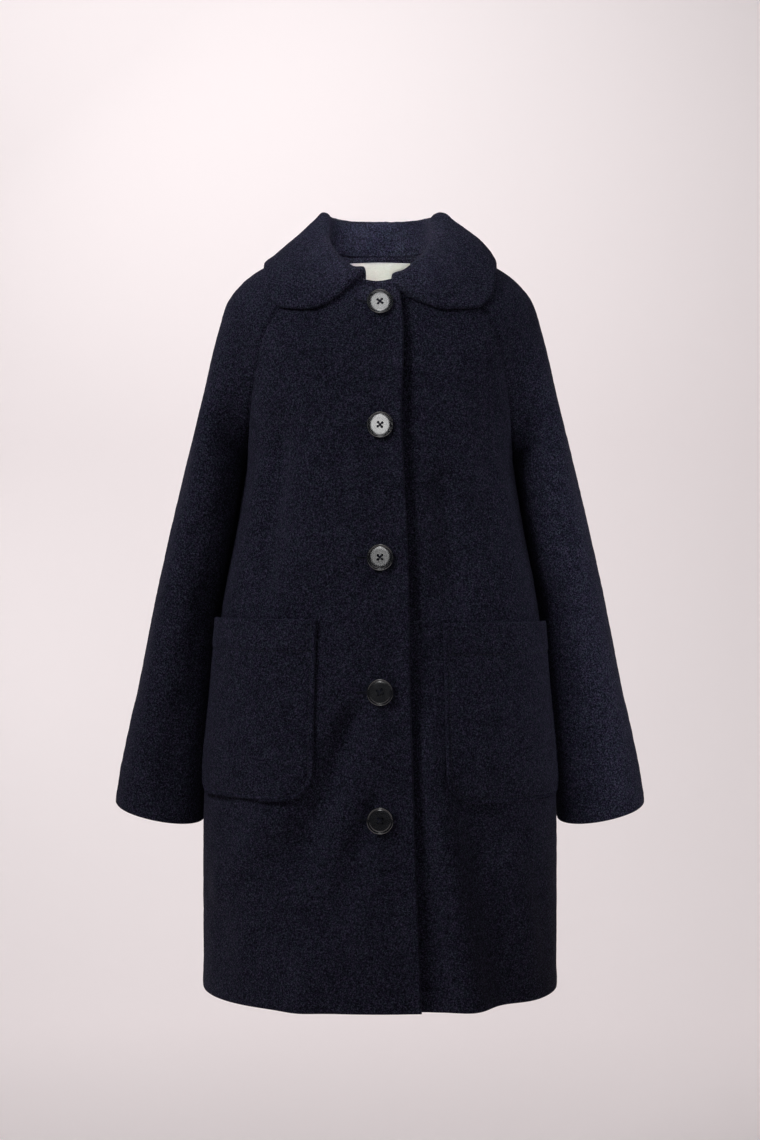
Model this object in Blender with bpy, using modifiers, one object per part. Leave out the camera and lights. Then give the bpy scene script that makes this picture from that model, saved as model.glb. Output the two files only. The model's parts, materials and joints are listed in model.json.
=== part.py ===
"""Long coat in navy boiled wool: raglan sleeves, round collar, patch pockets, five buttons.

The coat keeps the hollow form that it has when it is worn. X runs to the viewer's right, the
front faces -Y and Z points up. The origin is the middle of the neck, level with the neck seam
at the shoulder. The wearer's right front laps over the left one. Sizes are in millimetres and
become metres where a mesh is made. Every table has a row for each section of a piece.
"""
import math

import bmesh
import bpy
import numpy as np
from mathutils import Matrix, Vector

MM = 0.001


def table(columns, *rows):
    """Return the rows as a dictionary of named columns."""
    return dict(zip(columns.split(), np.array(rows, float).T))


# Cloth and clearances
WALL = 3.0
SEAM_GAP = 0.3
SEAM_STRIP = 2.0
UNDERARM_GAP = 0.8
LABEL_WALL = 0.8

# Overlap of the two fronts
LAP_DEPTH = 5.6
LAP_FULL = 45.0
LAP_GONE = 120.0
LAP_FULL_SHARE = 0.40
LAP_GONE_SHARE = 0.90
UNDERLAP = 26.0

# Sections of a front panel, from the neck to the hem. x, y, z: the raglan seam, then the side
# seam. turn: degrees that the section has turned from facing front when it meets that seam.
# climb: how steeply it rises there.
# flat, round: lengths of the straight run at the centre and of the turn, as shares of the span.
UNDERARM = 6
FRONT = table(
    "x y z turn climb flat round centre_y centre_z",
    (59, -49, -20, 63, 0.42, 0.42, 0.33, -90, -56),
    (109, -79, -76, 28, 0.40, 0.40, 0.28, -104, -108),
    (134, -81, -112, 36, 0.36, 0.42, 0.26, -111, -142),
    (145, -71, -150, 52, 0.30, 0.44, 0.27, -115, -173),
    (153, -51, -200, 70, 0.20, 0.46, 0.30, -119, -214),
    (157, -24, -240, 82, 0.10, 0.48, 0.35, -122, -247),
    (160, 8, -264, 90, 0.00, 0.53, 0.42, -124, -267),
    (172, 2, -340, 90, 0.00, 0.51, 0.40, -129, -340),
    (188, -6, -430, 90, 0.00, 0.50, 0.38, -134, -430),
    (200, -8, -540, 90, 0.00, 0.50, 0.36, -140, -540),
    (210, -6, -664, 90, 0.00, 0.51, 0.34, -145, -664),
    (211, 0, -884, 90, 0.00, 0.59, 0.27, -150, -884),
)

# Sections of half the back panel, read in the same way. The seams below the arm are shared.
BACK = table(
    "x y z turn climb flat round centre_y centre_z",
    (50, 48, -1, 42, 0.02, 0.42, 0.33, 66, 0),
    (100, 82, -58, 28, 0.16, 0.42, 0.28, 90, -54),
    (131, 87, -104, 36, 0.22, 0.43, 0.26, 102, -103),
    (146, 82, -150, 52, 0.22, 0.44, 0.27, 109, -150),
    (154, 66, -200, 70, 0.16, 0.46, 0.30, 113, -201),
    (158, 40, -240, 82, 0.08, 0.48, 0.34, 114, -241),
    (160, 8, -264, 90, 0.00, 0.53, 0.40, 114, -265),
    (172, 2, -340, 90, 0.00, 0.51, 0.39, 115, -340),
    (188, -6, -430, 90, 0.00, 0.50, 0.38, 118, -430),
    (200, -8, -540, 90, 0.00, 0.50, 0.36, 122, -540),
    (210, -6, -664, 90, 0.00, 0.51, 0.34, 130, -664),
    (211, 0, -884, 90, 0.00, 0.57, 0.28, 142, -884),
)

# Sections of a sleeve. over: the line along the top of the arm. leave: degrees by which the
# cloth still turns away from the front, or from the back, where it leaves the raglan seam.
# near, far: how far it runs straight at the seam and at the over-arm line. dip: how much lower
# the front of a ring is than its back.
SLEEVE = table(
    "over_x over_y over_z leave_f near_f far_f leave_b near_b far_b dip",
    (69, 2, 0, 63, 17, 17, 42, 17, 17, 0),
    (138, 4, -25, 28, 30, 36, 28, 30, 36, 0),
    (178, 4, -60, 36, 27, 50, 36, 27, 50, 0),
    (194, 5, -104, 46, 22, 63, 46, 24, 63, 0),
    (208, 6, -160, 18, 20, 77, 18, 22, 78, 0),
    (222, 8, -218, -46, 56, 86, -46, 58, 90, 0),
    (233, 9, -262, -90, 90, 90, -90, 97, 97, 0),
    (249, 10, -330, -90, 89, 89, -90, 94, 94, 0),
    (269, 12, -418, -90, 86, 86, -90, 89, 89, 2),
    (291, 14, -524, -90, 80, 80, -90, 82, 82, 4),
    (312, 14, -622, -90, 73, 73, -90, 75, 75, 6),
    (318, 14, -666, -90, 69, 69, -90, 71, 71, 10),
)

# Underarm line of the sleeve below the arm: its height, its distance back, and its clearance
# from the body's side on the wearer's right and left.
INNER = table(
    "z y gap_right gap_left",
    (-340, 10, 2.0, 3.0),
    (-430, 12, 3.0, 7.0),
    (-540, 14, 3.5, 10.0),
    (-640, 14, 4.0, 8.0),
    (-687, 14, 4.0, 5.0),
)

# Free edge of the right front: how far past the centre it reaches at each height.
EDGE = table(
    "z x",
    (-56, 15),
    (-64, 21),
    (-80, 24),
    (-218, 25),
    (-377, 32),
    (-535, 35),
    (-760, 42),
    (-884, 47),
)

# Soft folds of the fronts and of the back. Each runs along a line from (s0, z0) to (s1, z1), where
# s is the way round the body from the centre, towards +X. lift: how far its crest stands out, or
# in where it is a trough. wide0, wide1: its half-width at the two ends.
FRONT_FOLDS = table(
    "s0 z0 s1 z1 lift wide0 wide1",
    (-116, -190, -146, -450, -5, 20, 24),
    (-12, -515, -108, -750, -6, 13, 26),
    (4, -620, -54, -790, -4, 12, 20),
    (-96, -640, -225, -780, 4, 20, 26),
    (-62, -790, -122, -990, 4, 20, 26),
    (48, -520, 118, -990, 6, 14, 26),
    (70, -260, 92, -450, -5, 16, 20),
    (96, -620, 176, -990, -5, 20, 30),
)
BACK_FOLDS = table(
    "s0 z0 s1 z1 lift wide0 wide1",
    (-84, -180, -98, -990, 5, 20, 36),
    (78, -200, 106, -990, 5, 22, 34),
    (-20, -420, -12, -990, -5, 24, 40),
    (150, -330, 176, -990, -4, 18, 26),
    (-148, -300, -180, -990, -4, 18, 28),
)
FOLD_FADE = 0.22
FOLD_SEAM = 40.0

# Collar, from the centre back to its end at the front. way: share of the neck seam. rise: height
# of the fold above the seam. lean: how far the fold leans into the neck. x, y, z: a point that
# the leaf's edge lies over. bow: how far the leaf runs straight out of the fold. swell: how far
# it is rounded out before its edge. left_x, left_z: how that point is shifted on the wearer's left.
COLLAR = table(
    "way rise lean bow swell x y z left_x left_z",
    (0.00, 43, 4.0, 16, 3, 0, 92, -38, 0, 0),
    (0.13, 43, 4.5, 16, 3, 44, 92, -42, 0, 0),
    (0.26, 43, 5.5, 14, 3, 88, 82, -46, 0, 0),
    (0.37, 42, 6.5, 10, 1, 120, 48, -38, 0, 0),
    (0.47, 42, 7.0, 10, -2, 133, 6, -25, 0, 0),
    (0.56, 31, 5.0, 12, 0, 133, -36, -41, 0, 0),
    (0.64, 23, 2.0, 14, 2, 128, -54, -54, 0, 0),
    (0.71, 17, 1.0, 16, 3, 120, -71, -68, 0, 0),
    (0.77, 13, 0.4, 16, 4, 110, -84, -81, 0, 0),
    (0.83, 11, 0.3, 15, 4, 92, -92, -89, -4, 0),
    (0.88, 10, 0.2, 14, 3, 73, -96, -88, -5, 0),
    (0.92, 10, 0.2, 11, 2, 55, -98, -78, -8, -1),
    (0.96, 11, 0.2, 7, 1, 38, -97, -62, -11, -7),
    (1.00, 13, 0.2, 3, 1, 20, -93, -47, -6, -10),
)
COLLAR_END_RIGHT = 16.0
COLLAR_END_LEFT = 13.0
STAND_HEIGHT = 24.0
STAND_SHARE = 0.7
FOLD_RADIUS = 6.0
FOLD_SHARE = 0.6
LEAF_CLEAR = 1.4

# Patch pocket: its two edges are measured round the panel from the centre front. The left one
# hangs a little lower.
POCKET = table(
    "z inner outer",
    (-444, 71, 252),
    (-520, 73, 256),
    (-664, 76, 262),
)
POCKET_TOP = -444.0
POCKET_FOOT = -648.0
POCKET_DROP = 4.0
POCKET_CORNER = 34.0
POCKET_LIFT = 0.8
POCKET_GAPE = 6.0
POCKET_BULGE = 2.5

# Buttons
BUTTON_HEIGHTS = (-82.0, -224.0, -374.0, -525.0, -668.0)
BUTTON_RADIUS = 15.2
BUTTON_RIM = 4.6
BUTTON_DISH = 3.0
BUTTON_FOOT = 9.0
BUTTON_HOLE = 1.5
BUTTON_HOLE_PITCH = 3.3
BUTTON_SIDES = 24
BUTTON_LIFT = 0.4

# Neck label
LABEL_WIDTH = 78.0
LABEL_TOP = -6.0
LABEL_FOOT = -52.0
LABEL_GAP = 0.6

# Fineness of the grids
YOKE_ROWS = 12
BODY_ROWS = 12
SLEEVE_ROWS = 12
FRONT_COLUMNS = 10
BACK_COLUMNS = 16
SLEEVE_COLUMNS = 20
CURVE_STEPS = 60

# Colours
NAVY = (0.012, 0.016, 0.032, 1.0)
BUTTON_BLACK = (0.010, 0.012, 0.018, 1.0)
LABEL_WHITE = (0.80, 0.80, 0.80, 1.0)


def smooth(stops, values, at):
    """Read a smooth curve through the values at the stops: cubic pieces with shared slopes."""
    at = np.asarray(at, float)
    slope = np.gradient(values, stops)
    low = np.clip(np.searchsorted(stops, at, side="right") - 1, 0, len(stops) - 2)
    gap = stops[low + 1] - stops[low]
    t = (at - stops[low]) / gap
    start = values[low] * (1 + 2 * t) * (1 - t) ** 2 + slope[low] * gap * t * (1 - t) ** 2
    end = values[low + 1] * t * t * (3 - 2 * t) + slope[low + 1] * gap * t * t * (t - 1)
    return start + end


def between(column, at):
    """Read a column at a place between its rows, above and below the underarm by themselves."""
    rows = slice(0, UNDERARM + 1) if at <= UNDERARM else slice(UNDERARM, None)
    stops = np.arange(len(column), dtype=float)
    return float(smooth(stops[rows], column[rows], at))


def section(source, at):
    """Read every column of a table at a place between its rows."""
    return {name: between(column, at) for name, column in source.items()}


def bezier(p0, p1, p2, p3, steps=CURVE_STEPS):
    """Return points of the cubic curve with these four control points."""
    t = np.linspace(0.0, 1.0, steps)[:, None]
    p0, p1, p2, p3 = (np.asarray(p, float) for p in (p0, p1, p2, p3))
    return (1 - t) ** 3 * p0 + 3 * t * (1 - t) ** 2 * p1 + 3 * t * t * (1 - t) * p2 + t ** 3 * p3


def run(points):
    """Return the distance travelled along a line of points."""
    steps = np.linalg.norm(np.diff(points, axis=0), axis=1)
    return np.concatenate(([0.0], np.cumsum(steps)))


def at_distance(points, distances):
    """Return the points that lie at the given distances along a line of points."""
    travelled = run(points)
    return np.stack([np.interp(distances, travelled, points[:, k]) for k in range(3)], axis=-1)


def evenly(points, count):
    """Return count points at even distances along a line of points."""
    return at_distance(points, np.linspace(0.0, run(points)[-1], count))


def cloth_row(points, count):
    """Return count + 1 points along a line, with the outer two at each end close together.

    The narrow strip that this leaves at a seam faces the way the cloth faces there, so that the
    walls of two neighbours meet edge to edge.
    """
    end = run(points)[-1]
    inside = np.linspace(0.0, end, count - 1)[1:-1]
    return at_distance(points, np.concatenate(([0.0, SEAM_STRIP], inside, [end - SEAM_STRIP, end])))


def ease(x):
    """Rise smoothly from 0 to 1 while x goes from 0 to 1."""
    x = np.clip(x, 0.0, 1.0)
    return x * x * (3 - 2 * x)


def panel_row(source, at, back):
    """Return one section of half a front or back panel, from its centre to its seam."""
    s = section(source, at)
    centre = np.array((0.0, s["centre_y"], s["centre_z"]))
    seam = np.array((s["x"], s["y"], s["z"]))
    span = np.linalg.norm(seam - centre)
    turn = math.radians(s["turn"])
    onward = np.array((math.cos(turn), math.sin(turn) * back, s["climb"]))
    near = centre + np.array((s["flat"] * span, 0.0, 0.0))
    far = seam - s["round"] * span * onward
    return bezier(centre, near, far, seam)


def fold_lift(folds, s, z):
    """Return how far the folds move the cloth out at a distance s round the body and height z.

    Across its line a fold falls off as a bell curve. Along it, it fades in and out at the ends.
    """
    lift = np.zeros_like(s)
    for s0, z0, s1, z1, height, wide0, wide1 in zip(*folds.values()):
        length = math.hypot(s1 - s0, z1 - z0)
        along = ((s - s0) * (s1 - s0) + (z - z0) * (z1 - z0)) / length ** 2
        across = ((s - s0) * (z1 - z0) - (z - z0) * (s1 - s0)) / length
        wide = wide0 + (wide1 - wide0) * np.clip(along, 0.0, 1.0)
        fade = ease(along / FOLD_FADE) * ease((1.0 - along) / FOLD_FADE)
        lift = lift + height * fade * np.exp(-(across / wide) ** 2)
    return lift


def folded(line, folds, side, back, seam):
    """Move a section in and out by its folds. The folds die away towards the seam."""
    step = np.gradient(line[:, :2], axis=0)
    out = np.stack((step[:, 1], -step[:, 0]), axis=1) * back
    out /= np.linalg.norm(out, axis=1)[:, None]
    s = run(line) - np.interp(0.0, line[:, 0], run(line))
    lift = fold_lift(folds, s * side, line[:, 2]) * ease((seam - np.abs(s)) / FOLD_SEAM)
    line = line.copy()
    line[:, :2] += out * lift[:, None]
    return line


def front_row(at, side):
    """Return one section of a front panel from its free edge to its seam.

    The section is carried past the centre as its own mirror image. On the wearer's left it is
    moved in, towards the body, where it lies under the right front.
    """
    half = panel_row(FRONT, at, 1.0)
    reach = float(smooth(-EDGE["z"], EDGE["x"], -half[0, 2])) if side < 0 else UNDERLAP
    past = half[1:][half[1:, 0] < reach + 12.0] * np.array((-1.0, 1.0, 1.0))
    line = np.concatenate((past[::-1], half))
    first = np.interp(-reach, line[:, 0], run(line))
    line = at_distance(line, np.linspace(first, run(line)[-1], 2 * CURVE_STEPS))
    line = folded(line, FRONT_FOLDS, side, 1.0, run(half)[-1])
    if side > 0:
        gone = min(LAP_GONE, LAP_GONE_SHARE * line[-1, 0])
        full = min(LAP_FULL, LAP_FULL_SHARE * line[-1, 0])
        line[:, 1] += LAP_DEPTH * (1 - ease((line[:, 0] - full) / (gone - full)))
    return line * np.array((side, 1.0, 1.0))


def back_row(at):
    """Return one section of the whole back, from the seam at +X to the one at -X."""
    half = panel_row(BACK, at, -1.0)
    line = np.concatenate((half[::-1] * np.array((-1.0, 1.0, 1.0)), half[1:]))
    return folded(line, BACK_FOLDS, 1.0, -1.0, run(half)[-1])[::-1]


def sleeve_line(source, side):
    """Return a raglan seam as the sleeve meets it, and then the sleeve's underarm line."""
    upper = np.stack([source[k][: UNDERARM + 1] for k in "xyz"], axis=1)
    upper[-1, 0] += UNDERARM_GAP
    gap = INNER["gap_right"] if side < 0 else INNER["gap_left"]
    x = smooth(-FRONT["z"][UNDERARM:], FRONT["x"][UNDERARM:], -INNER["z"]) + gap
    return np.concatenate((upper, np.stack((x, INNER["y"], INNER["z"]), axis=1)))


def sleeve_row(at, side):
    """Return one section of a sleeve: front seam, over-arm line, back seam."""
    s = section(SLEEVE, at)
    front = np.array([between(column, at) for column in sleeve_line(FRONT, side).T])
    back = np.array([between(column, at) for column in sleeve_line(BACK, side).T])
    over = np.array((s["over_x"], s["over_y"], s["over_z"]))
    halves = []
    for seam, key, sign in ((front, "f", 1.0), (back, "b", -1.0)):
        leave = math.radians(s["leave_" + key])
        climb = between(FRONT["climb"] if sign > 0 else BACK["climb"], at)
        away = np.array((math.cos(leave), math.sin(leave) * sign, climb))
        near = seam + s["near_" + key] * away
        near[2] -= sign * s["dip"]
        far = over + np.array((0.0, -sign * s["far_" + key], -sign * s["dip"]))
        halves.append(bezier(seam, near, far, over))
    line = np.concatenate((halves[0], halves[1][::-1][1:]))
    return line * np.array((side, 1.0, 1.0))


def yoke_stops():
    """Return the places of the sections from the neck to the underarm."""
    return np.linspace(0.0, UNDERARM, YOKE_ROWS + 1)


def lower_stops(count):
    """Return the places of the sections below the underarm, down to the hem or the cuff."""
    last = len(FRONT["z"]) - 1
    return np.linspace(UNDERARM, last, count + 1)[1:]


def part_seams(grid, first=True, last=True):
    """Pull the edge columns of a grid back by half the gap that is left at a seam."""
    grid = grid.copy()
    for edge, inner, use in ((0, 1, first), (-1, -2, last)):
        if use:
            step = grid[:, inner] - grid[:, edge]
            grid[:, edge] += step * (0.5 * SEAM_GAP / np.linalg.norm(step, axis=1))[:, None]
    return grid


def normals(grid):
    """Return the unit normals of a grid, down crossed with across."""
    normal = np.cross(np.gradient(grid, axis=0), np.gradient(grid, axis=1))
    return normal / np.linalg.norm(normal, axis=2)[:, :, None]


def front_grid(side):
    """Return a front panel's outer points, with columns running towards +X."""
    stops = np.concatenate((yoke_stops(), lower_stops(BODY_ROWS)))
    grid = np.array([cloth_row(front_row(at, side), FRONT_COLUMNS) for at in stops])
    grid = part_seams(grid, first=False)
    return grid if side > 0 else grid[:, ::-1]


def back_grid():
    """Return the back panel's outer points, with columns running towards -X."""
    stops = np.concatenate((yoke_stops(), lower_stops(BODY_ROWS)))
    return part_seams(np.array([cloth_row(back_row(at), BACK_COLUMNS) for at in stops]))


def sleeve_grids(side):
    """Return a sleeve's points: the open rows down to the underarm, then the closed rings."""
    upper = np.array([cloth_row(sleeve_row(at, side), SLEEVE_COLUMNS) for at in yoke_stops()])
    joined = upper[-1:, :-1]
    upper = part_seams(upper[:-1])
    lower = [cloth_row(sleeve_row(at, side), SLEEVE_COLUMNS)[:-1] for at in lower_stops(SLEEVE_ROWS)]
    return upper, np.concatenate((joined, np.array(lower)))


def new_material(name, colour, roughness):
    """Make a plain material."""
    material = bpy.data.materials.new(name)
    material.use_nodes = True
    shader = material.node_tree.nodes["Principled BSDF"]
    shader.inputs["Base Color"].default_value = colour
    shader.inputs["Roughness"].default_value = roughness
    return material


def new_object(name, points, faces, colour, roughness, home):
    """Make a named object with its own material from points in millimetres."""
    mesh = bpy.data.meshes.new(name)
    mesh.from_pydata((np.asarray(points) * MM).tolist(), [], faces)
    mesh.update()
    mesh.shade_smooth()
    mesh.set_sharp_from_angle(angle=math.radians(50.0))
    mesh.materials.append(new_material(name, colour, roughness))
    thing = bpy.data.objects.new(name, mesh)
    home.objects.link(thing)
    return thing


def give_wall(thing, wall):
    """Turn an open surface into cloth of this thickness, grown inward."""
    solidify = thing.modifiers.new("Cloth", "SOLIDIFY")
    solidify.thickness = wall * MM
    solidify.offset = -1.0
    solidify.use_rim = True


def grid_faces(rows, columns, start=0):
    """Return the quads of a grid of points stored row by row."""
    faces = []
    for i in range(rows - 1):
        for j in range(columns - 1):
            a = start + i * columns + j
            faces.append((a, a + columns, a + columns + 1, a + 1))
    return faces


def sheet(name, grid, wall, colour, roughness, home):
    """Make a piece of cloth from a grid of outer points."""
    rows, columns = grid.shape[:2]
    faces = grid_faces(rows, columns)
    thing = new_object(name, grid.reshape(-1, 3), faces, colour, roughness, home)
    give_wall(thing, wall)
    return thing


def sleeve(name, side, home):
    """Make a sleeve: open rows over the shoulder that close into rings below the arm."""
    upper, lower = sleeve_grids(side)
    rows, columns = upper.shape[:2]
    faces = grid_faces(rows, columns)
    base = rows * columns
    ring = lower.shape[1]
    for j in range(ring):
        a = (rows - 1) * columns + j
        faces.append((a, base + j, base + (j + 1) % ring, a + 1))
    for i in range(len(lower) - 1):
        for j in range(ring):
            a = base + i * ring
            faces.append((a + j, a + ring + j, a + ring + (j + 1) % ring, a + (j + 1) % ring))
    if side < 0:
        faces = [face[::-1] for face in faces]
    points = np.concatenate((upper.reshape(-1, 3), lower.reshape(-1, 3)))
    thing = new_object(name, points, faces, NAVY, 0.95, home)
    give_wall(thing, WALL)
    return thing


def neck_half(side):
    """Return half the neck seam, from the centre back to the collar's end at the front."""
    back = panel_row(BACK, 0.0, -1.0) * np.array((side, 1.0, 1.0))
    over = sleeve_row(0.0, side)[::-1]
    front = front_row(0.0, side)[::-1]
    end = COLLAR_END_RIGHT if side < 0 else COLLAR_END_LEFT
    front = front[front[:, 0] * side > end]
    return np.concatenate((back, over[1:], front[1:]))


def shoulder_points(side):
    """Return points and normals of the cloth under the collar, on one side of the coat."""
    stops = np.linspace(0.0, UNDERARM * 0.55, 40)
    front = np.array([evenly(front_row(at, side), 60) for at in stops])
    sleeve_part = np.array([evenly(sleeve_row(at, side), 80) for at in stops])
    back = np.array([evenly(panel_row(BACK, at, -1.0), 60) for at in stops])
    back = back[:, ::-1] * np.array((side, 1.0, 1.0))
    grids = [front, sleeve_part, back]
    if side > 0:
        lap = np.array([front_row(at, -1.0)[::-1] for at in stops])
        grids.append(lap[:, lap[0, :, 0] > 0.0])
    points = np.concatenate([g.reshape(-1, 3) for g in grids])
    outward = np.concatenate([normals(g).reshape(-1, 3) for g in grids]) * side
    return points, outward


def collar_half(side, stations):
    """Return the collar's seen face on one side: for each station a line from the stand's foot
    up the inside of the neck, over the fold and down the leaf, and the number of stand points.
    """
    neck = neck_half(side)
    length = run(neck)[-1]
    foot = at_distance(neck, stations * length)
    along = np.gradient(foot, axis=0)
    along[0] = (side, 0.0, 0.0)
    out = np.stack((along[:, 1], -along[:, 0], np.zeros(len(along))), axis=1) * -side
    out /= np.linalg.norm(out, axis=1)[:, None]
    points, outward = shoulder_points(side)
    guide = np.stack([smooth(COLLAR["way"], COLLAR[k], stations) for k in "xyz"], axis=1)
    if side > 0:
        guide[:, 0] += smooth(COLLAR["way"], COLLAR["left_x"], stations)
        guide[:, 2] += smooth(COLLAR["way"], COLLAR["left_z"], stations)
    guide[:, 0] *= side
    nearest = [int(np.argmin(np.linalg.norm(points - g, axis=1))) for g in guide]
    height = np.sum((guide - points[nearest]) * outward[nearest], axis=1)
    edge = guide + outward[nearest] * (WALL + LEAF_CLEAR - height)[:, None]
    rise = smooth(COLLAR["way"], COLLAR["rise"], stations)
    lean = smooth(COLLAR["way"], COLLAR["lean"], stations)
    bow = smooth(COLLAR["way"], COLLAR["bow"], stations)
    swell = smooth(COLLAR["way"], COLLAR["swell"], stations)
    lines = []
    for k in range(len(stations)):
        up = np.array((0.0, 0.0, 1.0))
        radius = min(FOLD_RADIUS, FOLD_SHARE * rise[k])
        stand = min(STAND_HEIGHT, STAND_SHARE * (rise[k] - radius))
        base = foot[k] - WALL * out[k] + SEAM_GAP * up
        top = foot[k] - (WALL + lean[k]) * out[k] + (rise[k] - radius) * up
        split = base + (top - base) * stand / (rise[k] - radius)
        turns = np.radians(np.array((180.0, 145.0, 110.0, 75.0, 40.0)))
        centre = top + radius * out[k]
        arc = [centre + radius * (math.cos(a) * out[k] + math.sin(a) * up) for a in turns]
        tangent = math.sin(turns[-1]) * out[k] - math.cos(turns[-1]) * up
        chord = edge[k] - arc[-1]
        far = edge[k] - 0.33 * chord + swell[k] * (out[k] + up)
        leaf = bezier(arc[-1], arc[-1] + bow[k] * tangent, far, edge[k])
        lines.append((base, split, np.array(arc), leaf))
    return lines


def collar_grids(side_stations=21, leaf_points=6):
    """Return the seen faces of the stand and of the fall, from the left end to the right end."""
    stations = np.linspace(0.0, 1.0, side_stations) ** 0.85
    stand, fall = [], []
    for side in (1.0, -1.0):
        lines = collar_half(side, stations)
        stand_half = [np.stack((base, 0.5 * (base + split), split)) for base, split, _, _ in lines]
        fall_half = []
        for base, split, arc, leaf in lines:
            start = split + (arc[0] - split) * SEAM_GAP / np.linalg.norm(arc[0] - split)
            fall_half.append(np.concatenate(([start], arc, evenly(leaf, leaf_points + 1)[1:])))
        stand.append(np.array(stand_half))
        fall.append(np.array(fall_half))
    stand = np.concatenate((stand[0][::-1], stand[1][1:]))
    fall = np.concatenate((fall[0][::-1], fall[1][1:]))
    return stand.transpose(1, 0, 2), fall.transpose(1, 0, 2)


def row_at_height(z):
    """Return the place of the section of a front panel that lies at height z below the arm."""
    stops = np.arange(len(FRONT["z"]), dtype=float)[UNDERARM:]
    tries = np.linspace(stops[0], stops[-1], 400)
    heights = smooth(np.arange(len(FRONT["z"]), dtype=float), FRONT["z"], tries)
    return float(np.interp(-z, -heights, tries))


def pocket_grid(side, rows=9, columns=12):
    """Return a patch pocket's outer points: the front panel's own points, moved out."""
    depth = POCKET_TOP - POCKET_FOOT
    drop = POCKET_DROP if side > 0 else 0.0
    down = np.concatenate((np.linspace(0.0, 1.0 - POCKET_CORNER / depth, rows - 3),
                           1.0 - POCKET_CORNER / depth * np.array((0.62, 0.30, 0.09, 0.0))))
    grid = []
    for share in down:
        z = POCKET_TOP - share * depth
        half = panel_row(FRONT, row_at_height(z - drop), 1.0)
        half = folded(half, FRONT_FOLDS, side, 1.0, run(half)[-1])
        inner = np.interp(-z, -POCKET["z"], POCKET["inner"])
        outer = np.interp(-z, -POCKET["z"], POCKET["outer"])
        low = max(0.0, POCKET_CORNER - (z - POCKET_FOOT))
        cut = POCKET_CORNER - math.sqrt(POCKET_CORNER ** 2 - low ** 2)
        grid.append(at_distance(half, np.linspace(inner + cut, outer - cut, columns + 1)))
    grid = np.array(grid)
    across = np.linspace(0.0, 1.0, columns + 1)[None, :]
    out = normals(grid)
    lift = POCKET_LIFT + WALL + POCKET_BULGE * (4 * across * (1 - across)) * (1 - down[:, None] ** 4)
    lift = lift + POCKET_GAPE * across ** 2 * (1 - across ** 6) * np.clip(1 - 2.2 * down[:, None], 0, 1)
    grid = grid + out * lift[:, :, None]
    if side > 0:
        return grid
    return (grid * np.array((-1.0, 1.0, 1.0)))[:, ::-1]


def button_mesh(spare):
    """Turn a dished button with a raised rim, and bore its four holes."""
    profile = (
        (0.0, BUTTON_DISH),
        (BUTTON_RADIUS * 0.62, BUTTON_DISH),
        (BUTTON_RADIUS * 0.80, BUTTON_RIM),
        (BUTTON_RADIUS * 0.93, BUTTON_RIM),
        (BUTTON_RADIUS, BUTTON_RIM * 0.62),
        (BUTTON_RADIUS * 0.95, BUTTON_RIM * 0.36),
        (BUTTON_FOOT, 0.0),
        (0.0, 0.0),
    )
    line = bpy.data.meshes.new("button_profile")
    points = [(radius * MM, 0.0, height * MM) for radius, height in profile]
    line.from_pydata(points, [(k, k + 1) for k in range(len(points) - 1)], [])
    blank = bpy.data.objects.new("button_blank", line)
    spare.objects.link(blank)
    turned = blank.modifiers.new("Turned", "SCREW")
    turned.axis = "Z"
    turned.steps = BUTTON_SIDES
    turned.render_steps = BUTTON_SIDES
    turned.use_merge_vertices = True
    turned.merge_threshold = 0.00001
    drill = bmesh.new()
    for k in range(4):
        angle = math.pi * (0.25 + 0.5 * k)
        place = Vector((math.cos(angle), math.sin(angle), 0.0)) * BUTTON_HOLE_PITCH * MM
        bmesh.ops.create_cone(
            drill,
            cap_ends=True,
            segments=8,
            radius1=BUTTON_HOLE * MM,
            radius2=BUTTON_HOLE * MM,
            depth=4 * BUTTON_RIM * MM,
            matrix=Matrix.Translation(place),
        )
    holes = bpy.data.meshes.new("button_holes")
    drill.to_mesh(holes)
    drill.free()
    cutter = bpy.data.objects.new("button_holes", holes)
    spare.objects.link(cutter)
    bored = blank.modifiers.new("Bored", "BOOLEAN")
    bored.operation = "DIFFERENCE"
    bored.object = cutter
    for thing in (blank, cutter):
        thing.hide_render = True
        thing.display_type = "WIRE"
    graph = bpy.context.evaluated_depsgraph_get()
    made = bpy.data.meshes.new_from_object(blank.evaluated_get(graph))
    made.name = "button"
    made.shade_smooth()
    made.set_sharp_from_angle(angle=math.radians(40.0))
    material = new_material("button", BUTTON_BLACK, 0.25)
    made.materials.clear()
    made.materials.append(material)
    return made


def front_depth(s, z):
    """Return the depth of the right front near the centre line."""
    return smooth(-FRONT["centre_z"], FRONT["centre_y"], -z) - fold_lift(FRONT_FOLDS, s, z)


def buttons(home, spare):
    """Seat the buttons on the right front, on the centre line, facing out of the cloth."""
    mesh = button_mesh(spare)
    reach = np.linspace(-BUTTON_RADIUS, BUTTON_RADIUS, 9)
    across, up = (side.ravel() for side in np.meshgrid(reach, reach))
    for number, z in enumerate(BUTTON_HEIGHTS, start=1):
        depth = front_depth(across, z + up)
        slope = np.polyfit(up, depth, 1)[0]
        proud = np.min(depth - slope * up)
        tilt = math.atan(slope)
        out = np.array((0.0, -math.cos(tilt), math.sin(tilt)))
        thing = bpy.data.objects.new("button_" + str(number), mesh)
        thing.location = (np.array((0.0, proud, z)) + out * BUTTON_LIFT) * MM
        thing.rotation_euler = (math.pi / 2 - tilt, 0.0, 0.0)
        home.objects.link(thing)


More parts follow.
